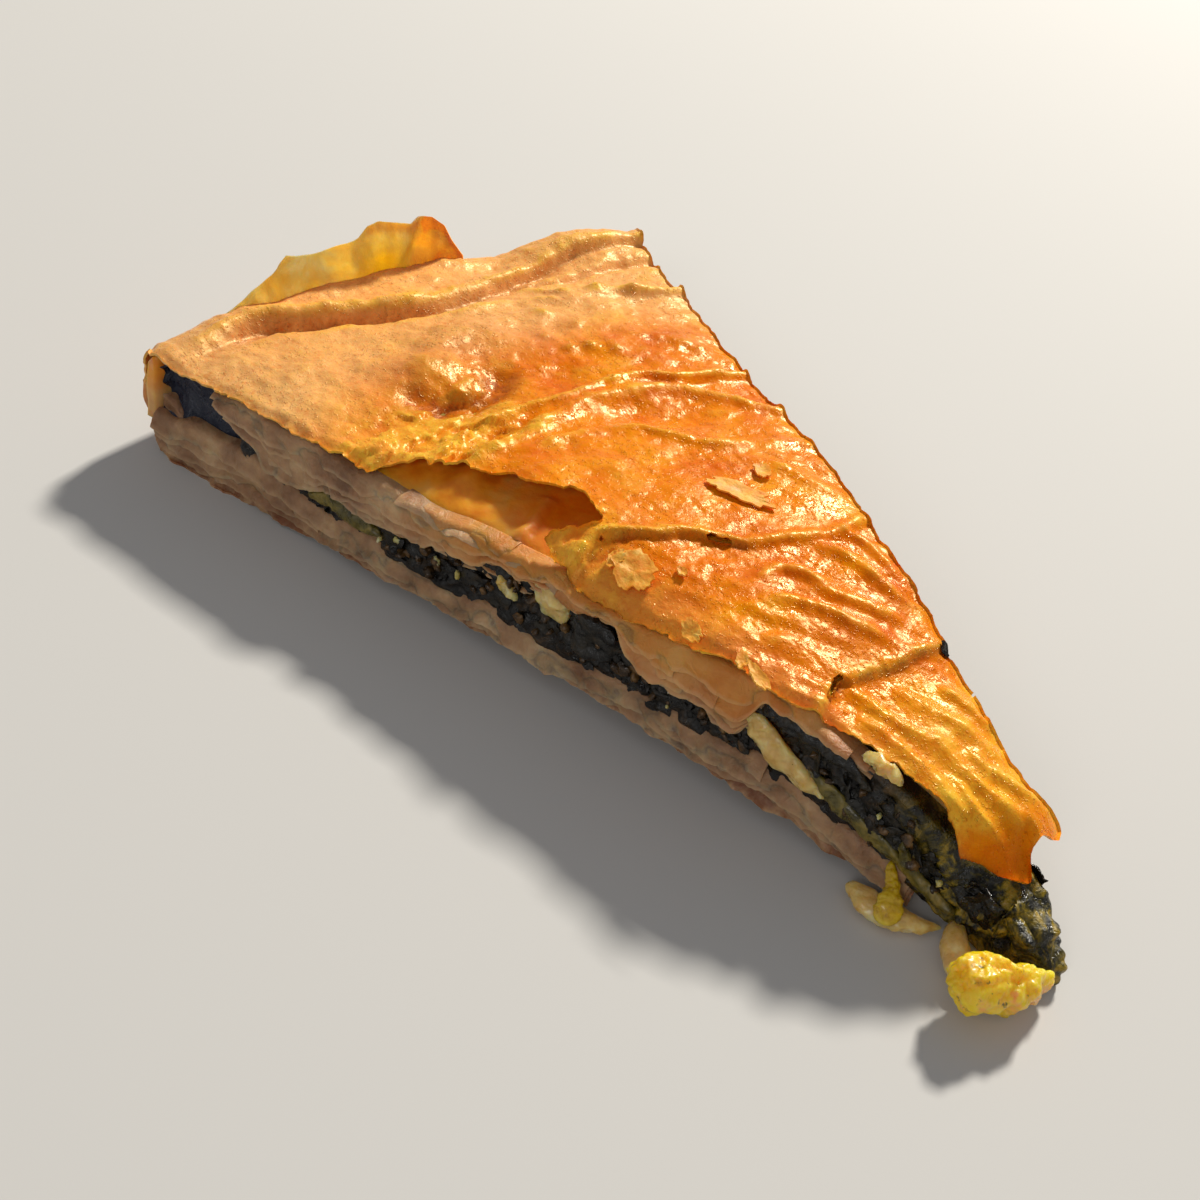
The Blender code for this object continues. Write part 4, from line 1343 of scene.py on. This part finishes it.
# ---------------------------------------------------------------- flap, flakes and scraps
# The flap's span across the rim, its free edge as (share of its length, height), its length and thickness,
# the radius and height of its foot, how deep it starts inside the rim, and its mesh.
FLAP_SPAN = (-0.82, 0.30)
FLAP_EDGE = (
    (0.0, 0.3), (0.07, 0.6), (0.16, 2.0), (0.24, 4.4), (0.304, 6.8), (0.357, 9.4), (0.38, 8.8), (0.4375, 8.2),
    (0.491, 8.1), (0.607, 9.7), (0.643, 11.5), (0.679, 11.9), (0.75, 11.2), (0.795, 10.4), (0.83, 11.1),
    (0.875, 10.7), (0.92, 8.5), (0.955, 4.6), (1.0, 0.4))
FLAP_LENGTH = 62.0
FLAP_THICKNESS = 0.3
FLAP_RADIUS = 187.8
FLAP_FOOT = 19.8
FLAP_SUNK = 3.0
FLAP_GRID = (220, 46)
# Flakes on the skin: radius, place across, length, width, heading in degrees, seed and how high each lies.
# Its mesh has rings of points on spokes.
FLAKES = (
    (88.5, 0.27, 12.5, 4.2, 152, 71, 0.35), (93.0, 0.53, 4.2, 3.2, 20, 72, 0.35),
    (84.0, -0.80, 7.6, 6.0, 15, 73, 0.8), (87.8, -0.79, 3.6, 2.8, 60, 74, 0.7),
    (78.5, -0.60, 2.2, 1.5, 0, 75, 0.35), (70.0, -0.95, 4.6, 2.6, 10, 77, 0.35),
    (60.5, -0.98, 3.0, 1.8, 40, 78, 0.35), (57.0, -1.04, 5.5, 2.2, 10, 79, 0.35),
)
FLAKE_THICKNESS = 0.3
HERB_FLAKE = (48.6, 1.0, 2.0, 1.0, 25, 91, 0.5)
HERB_THICKNESS = 0.5
FLAKE_GRID = (10, 64)
# The hanging stalk: places from the middle of its solid's foot, half widths along it and half thickness.
LEEK_ROUTE = (
    (-4.2, 2.9, 2.9), (-2.2, 1.6, 2.3), (-0.4, 0.1, 1.7), (0.9, -1.4, 1.4), (2.0, -2.8, 0.8),
    (2.7, -4.0, -1.4))
LEEK_HALF_WIDTHS = (0.6, 0.9, 1.1, 1.7, 2.2, 1.9)
LEEK_THICKNESS = 0.9
LEEK_GRID = (70, 24)
LEEK_SEED = 84


def rim_flap():
    """A crisp sheet that curls up from the rim and stands free."""
    columns, rows = FLAP_GRID
    share = np.linspace(0, 1, columns)[:, None] + np.zeros(rows)
    up = np.linspace(0, 1, rows)[None, :] + np.zeros((columns, 1))
    along = share * FLAP_LENGTH
    ragged = 0.25 * rough(flat_points(along), 4.0, 3, 61)
    rise = (np.interp(share, *np.array(FLAP_EDGE).T) + ragged + FLAP_SUNK) * up - FLAP_SUNK
    here = flat_points(along, rise * 1.2)
    lean = 1.4 * up * up - 0.6 * up
    crumple = 1.3 * noise_at(here, 15, 62) + 0.5 * noise_at(here, 6, 63) + 0.25 * noise_at(here, 2.6, 64)
    crease = 1.3 * bump(along - 0.84 * FLAP_LENGTH + 2.5 * (1 - up), 2.0)
    crease = crease - 0.9 * bump(along - 0.58 * FLAP_LENGTH, 3.0)
    radius = FLAP_RADIUS + lean + (crumple + crease) * ramp(up, 0.2, 0.6)
    x, y = slice_xy(radius, FLAP_SPAN[0] + (FLAP_SPAN[1] - FLAP_SPAN[0]) * share)
    points = flat_points(x, y, FLAP_FOOT + rise)
    brown = ramp(share + 0.06 * (1 - up), 0.82, 0.87)
    brown = brown + 0.5 * bump((up - 0.93) / 0.08, 1) * ramp(share, 0.6, 0.66)
    brown = brown + 0.35 * rough(here, 9, 3, 66) + 0.3 * bump(along - 0.22 * FLAP_LENGTH - 8 * (up - 0.5), 3)
    # Painted glow of the light that shines through the flap.
    painted_glow = bump(along - 0.70 * FLAP_LENGTH, 8) * ramp(-up, -0.95, -0.5)
    piece = mesh_object("rim_flap_sheet", points.reshape(-1, 3), grid_faces(columns, rows),
                        {"brown": np.clip(brown, 0, 1), "painted_glow": painted_glow})
    thicken(piece, FLAP_THICKNESS, offset=0.0)
    return dress(piece, flap_material(), "rim_flap")


def flake(radius, across, length, width, heading, seed, lift):
    """Points and faces of one loose flake lying on the skin."""
    rings, spokes = FLAKE_GRID
    turn = full_turn(spokes)[None, :]
    ring = np.linspace(0.02, 1, rings)[:, None]
    rim = flat_points(np.cos(turn) * 4, np.sin(turn) * 4, seed * 3.0)
    edge = 1 + 0.3 * rough(rim, 4.0, 4, seed, 0.8)
    u = ring * edge * np.cos(turn) * length / 2
    v = ring * edge * np.sin(turn) * width / 2
    centre_s, centre_y = from_tip(radius, across)
    along, beside = turned(u, v, math.radians(heading))
    s, y = centre_s + along, centre_y + beside
    away = np.hypot(s, y)
    side = np.arctan2(y, s) / HALF_ANGLE
    curl = 0.25 * ring ** 2 + 0.3 * np.maximum(noise_at(flat_points(u, v), 3.5, seed + 2), -0.2)
    x, plan_y = slice_xy(away, side)
    points = flat_points(x, plan_y, top_height(away, side) + lift + curl)
    return points.reshape(-1, 3), tube_faces(rings, spokes), (ring + 0 * turn).ravel()


def loose_flakes(material, herb_material):
    """Crumbs of pastry that broke off the skin, and a bit of herb."""
    join_sheets("loose_flakes", [flake(*row) for row in FLAKES], FLAKE_THICKNESS, material)
    join_sheets("herb_bit", [flake(*HERB_FLAKE)], HERB_THICKNESS, herb_material)


def node_place(node):
    """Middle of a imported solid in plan, and its lowest height, in millimetres."""
    corner_low, corner_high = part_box(node)
    middle = (corner_low + corner_high) / 2 / MM
    return middle.x, middle.y, corner_low.z / MM


def scrap_mesh(name, node, heading, half_sizes, bend, seed, lumps, material, counts=(90, 60),
               narrowing=0.0):
    """A small lump bent like a crescent, lying on the table in place of its solid."""
    long_way = np.linspace(0, math.pi, counts[1])[:, None]
    round_way = full_turn(counts[0])[None, :]
    dx = np.cos(long_way) + 0 * round_way
    dy = np.sin(long_way) * np.cos(round_way)
    dz = np.sin(long_way) * np.sin(round_way)
    length, width, height = half_sizes
    heading = math.radians(heading)
    middle_x, middle_y, foot = node_place(node)
    beside = dy * width * (1 - narrowing * dx) + bend * (dx ** 2 - 0.5)
    x, y = turned(dx * length, beside, heading)
    z = foot + height * (1 - 0.5 * narrowing * dx) * (1 + dz)
    here = flat_points(middle_x + x, middle_y + y, z)
    swell = lumps * rough(here, max(height * 1.3, 1.8), 4, seed, 0.5)
    out_x, out_y = turned(dx, dy, heading)
    points = here + swell[..., None] * flat_points(out_x, out_y, dz)
    points[..., 2] = np.maximum(points[..., 2], 0.1)
    faces = tube_faces(counts[1], counts[0])[:, [0, 3, 2, 1]]
    # Painted light along the lump's lower edge.
    edge = bump(dz + 0.2, 0.35) * ramp(dx, -0.3, 0.2) * ramp(-dy, -0.2, 0.4)
    piece = mesh_object(name, points.reshape(-1, 3), faces, {"painted_lit_edge": edge.ravel()})
    return dress(piece, material, node)


def leek_strand(material):
    """A soft yellow stalk that hangs from the cut over the onion strip."""
    rings, places = LEEK_GRID
    along = np.linspace(0, 1, rings)
    route = np.array(LEEK_ROUTE, dtype=float).T
    spine = smoothed(np.stack([spread_along(values, along) for values in route], axis=-1), 4)
    spine = spine + np.array(node_place("leek_strand"))
    ahead = np.gradient(spine, axis=0)
    ahead = ahead / np.linalg.norm(ahead, axis=1, keepdims=True)
    beside = np.cross(ahead, (math.cos(0.8), -math.sin(0.8), 0.6))
    beside = beside / np.linalg.norm(beside, axis=1, keepdims=True)
    raised = np.cross(beside, ahead)
    turn = full_turn(places)
    round_off = np.sqrt(np.clip(1 - (2 * along - 1) ** 8, 0.001, 1))
    half = spread_along(LEEK_HALF_WIDTHS, along) * round_off
    dents = 1 + 0.5 * rough(flat_points(spine[:, :1], spine[:, 1:2], turn[None, :]), 1.6, 3, LEEK_SEED)
    wide = (half[:, None] * dents * np.cos(turn))[..., None]
    thick = (LEEK_THICKNESS * round_off[:, None] * dents * np.sin(turn))[..., None]
    points = spine[:, None, :] + beside[:, None, :] * wide + raised[:, None, :] * thick
    points[..., 2] = np.maximum(points[..., 2], 0.1)
    piece = mesh_object("leek_strand_piece", points.reshape(-1, 3), tube_faces(rings, places))
    return dress(piece, material, "leek_strand")


def scraps(onion, leek):
    """What fell out of the torn tip."""
    scrap_mesh("egg_crust_lump", "crust_scrap", 66, (8.8, 3.4, 4.8), 1.4, 81, 2.3, egg_material(),
               (160, 120), 0.6)
    scrap_mesh("onion_petal_piece", "onion_petal", -44, (6.0, 2.1, 2.2), 0.6, 82, 0.3, onion)
    scrap_mesh("onion_strip_piece", "onion_strip", 29, (7.6, 2.3, 1.6), 2.0, 83, 0.4, onion,
               narrowing=0.45)
    leek_strand(leek)


# ---------------------------------------------------------------- stage
CAMERA_PLACE = Vector((150.2, -155.0, 180.8)) * MM
CAMERA_TARGET = Vector((1.6, -14.9, 10.0)) * MM
CAMERA_ROLL = math.radians(10.2)
CAMERA_LENS = 47.1
CAMERA_SENSOR = 36
# Lights: place in metres, size, power and colour.
LIGHTS = {
    "key": ((-0.68, 1.66, 1.45), 0.26, 69, (1.0, 0.95, 0.86)),
    "fill": ((0.5, -1.1, 0.8), 0.5, 3.0, (1.0, 0.98, 0.97)),
}
SKY_COLOUR = (0.96, 0.97, 1.0, 1)
SKY_STRENGTH = 0.22
FLOOR_COLOUR = (0.62, 0.61, 0.59, 1)
FLOOR_ROUGHNESS = 0.8
FLOOR_SIZE = 4


def aimed(place, target):
    """The matrix of something at a place that looks at a target."""
    turn = (target - place).to_track_quat("-Z", "Y").to_matrix().to_4x4()
    return Matrix.Translation(place) @ turn


def camera():
    """The view from the tip's left, a little above."""
    lens = bpy.data.cameras.new("camera")
    lens.lens = CAMERA_LENS
    lens.sensor_width = CAMERA_SENSOR
    lens.clip_start = 0.01
    item = bpy.data.objects.new("camera", lens)
    item.matrix_world = aimed(CAMERA_PLACE, CAMERA_TARGET) @ Matrix.Rotation(CAMERA_ROLL, 4, "Z")
    bpy.context.scene.collection.objects.link(item)
    bpy.context.scene.camera = item


def area_light(name, place, size, power, colour):
    """A soft square light aimed at the slice."""
    light = bpy.data.lights.new(name, "AREA")
    light.size = size
    light.energy = power
    light.color = colour
    item = bpy.data.objects.new(name, light)
    item.matrix_world = aimed(Vector(place), Vector((0, 0, 0)))
    bpy.context.scene.collection.objects.link(item)


def stage():
    """Pale floor and studio light."""
    bpy.ops.mesh.primitive_plane_add(size=FLOOR_SIZE)
    floor = bpy.context.object
    floor.name = "floor"
    material, _, shader = new_material("pale_floor")
    shader.inputs["Base Color"].default_value = FLOOR_COLOUR
    shader.inputs["Roughness"].default_value = FLOOR_ROUGHNESS
    floor.data.materials.append(material)
    for name, settings in LIGHTS.items():
        area_light(name, *settings)
    world = bpy.data.worlds.new("studio")
    world.use_nodes = True
    sky = world.node_tree.nodes["Background"]
    sky.inputs["Color"].default_value = SKY_COLOUR
    sky.inputs["Strength"].default_value = SKY_STRENGTH
    bpy.context.scene.world = world
    bpy.context.scene.view_settings.view_transform = "Standard"


def build_slice():
    """Every piece of the slice and its scraps."""
    top_skin()
    crust_core()
    filling()
    bottom_stack()
    pale = sheet_material("pale_phyllo", 0.5)
    upper_sheets(-1, pale, 100, 0.55, 15, (0, 1, 2, 3, 4))
    upper_sheets(-1, pale, 100, 0.55, 15, (5, 6, 7, 8, 9))
    upper_sheets(1, pale, 200, 1.0, 9, (0, 3, 5, 8, 9))
    lower_sheets(-1, pale, 300, 0.6, 11)
    lower_sheets(1, pale, 400, 1.0, 8)
    amber_drape(pale)
    foods = {name: plain_material(name) for name in PLAIN_MATERIALS}
    foods["pale_phyllo"] = pale
    for name, path, widths, thickness, out, seed, lumps, food, slot, counts in LUMPS:
        cut_lump(name, path, widths, thickness, out, seed, lumps, foods[food], counts)
    leaf, grain, onion = (foods[name] for name in ("spinach_leaf", "brown_greens", "cooked_onion"))
    for side, cut, share in ((-1, "left", 1.0), (1, "right", 0.6)):
        leaf_bits("leaves_" + cut, side, int(100 * share), 500 + side, leaf)
        filling_bits("cheese_" + cut, side, int(14 * share), (20, 160), (0.3, 0.9), 600 + side, onion)
        filling_bits("greens_" + cut, side, int(70 * share), (18, 130), (0.4, 1.3), 640 + side, grain)
    rim_flap()
    loose_flakes(foods["dry_flakes"], leaf)
    scraps(onion, foods["yellow_leek"])


stage()
camera()
build_slice()
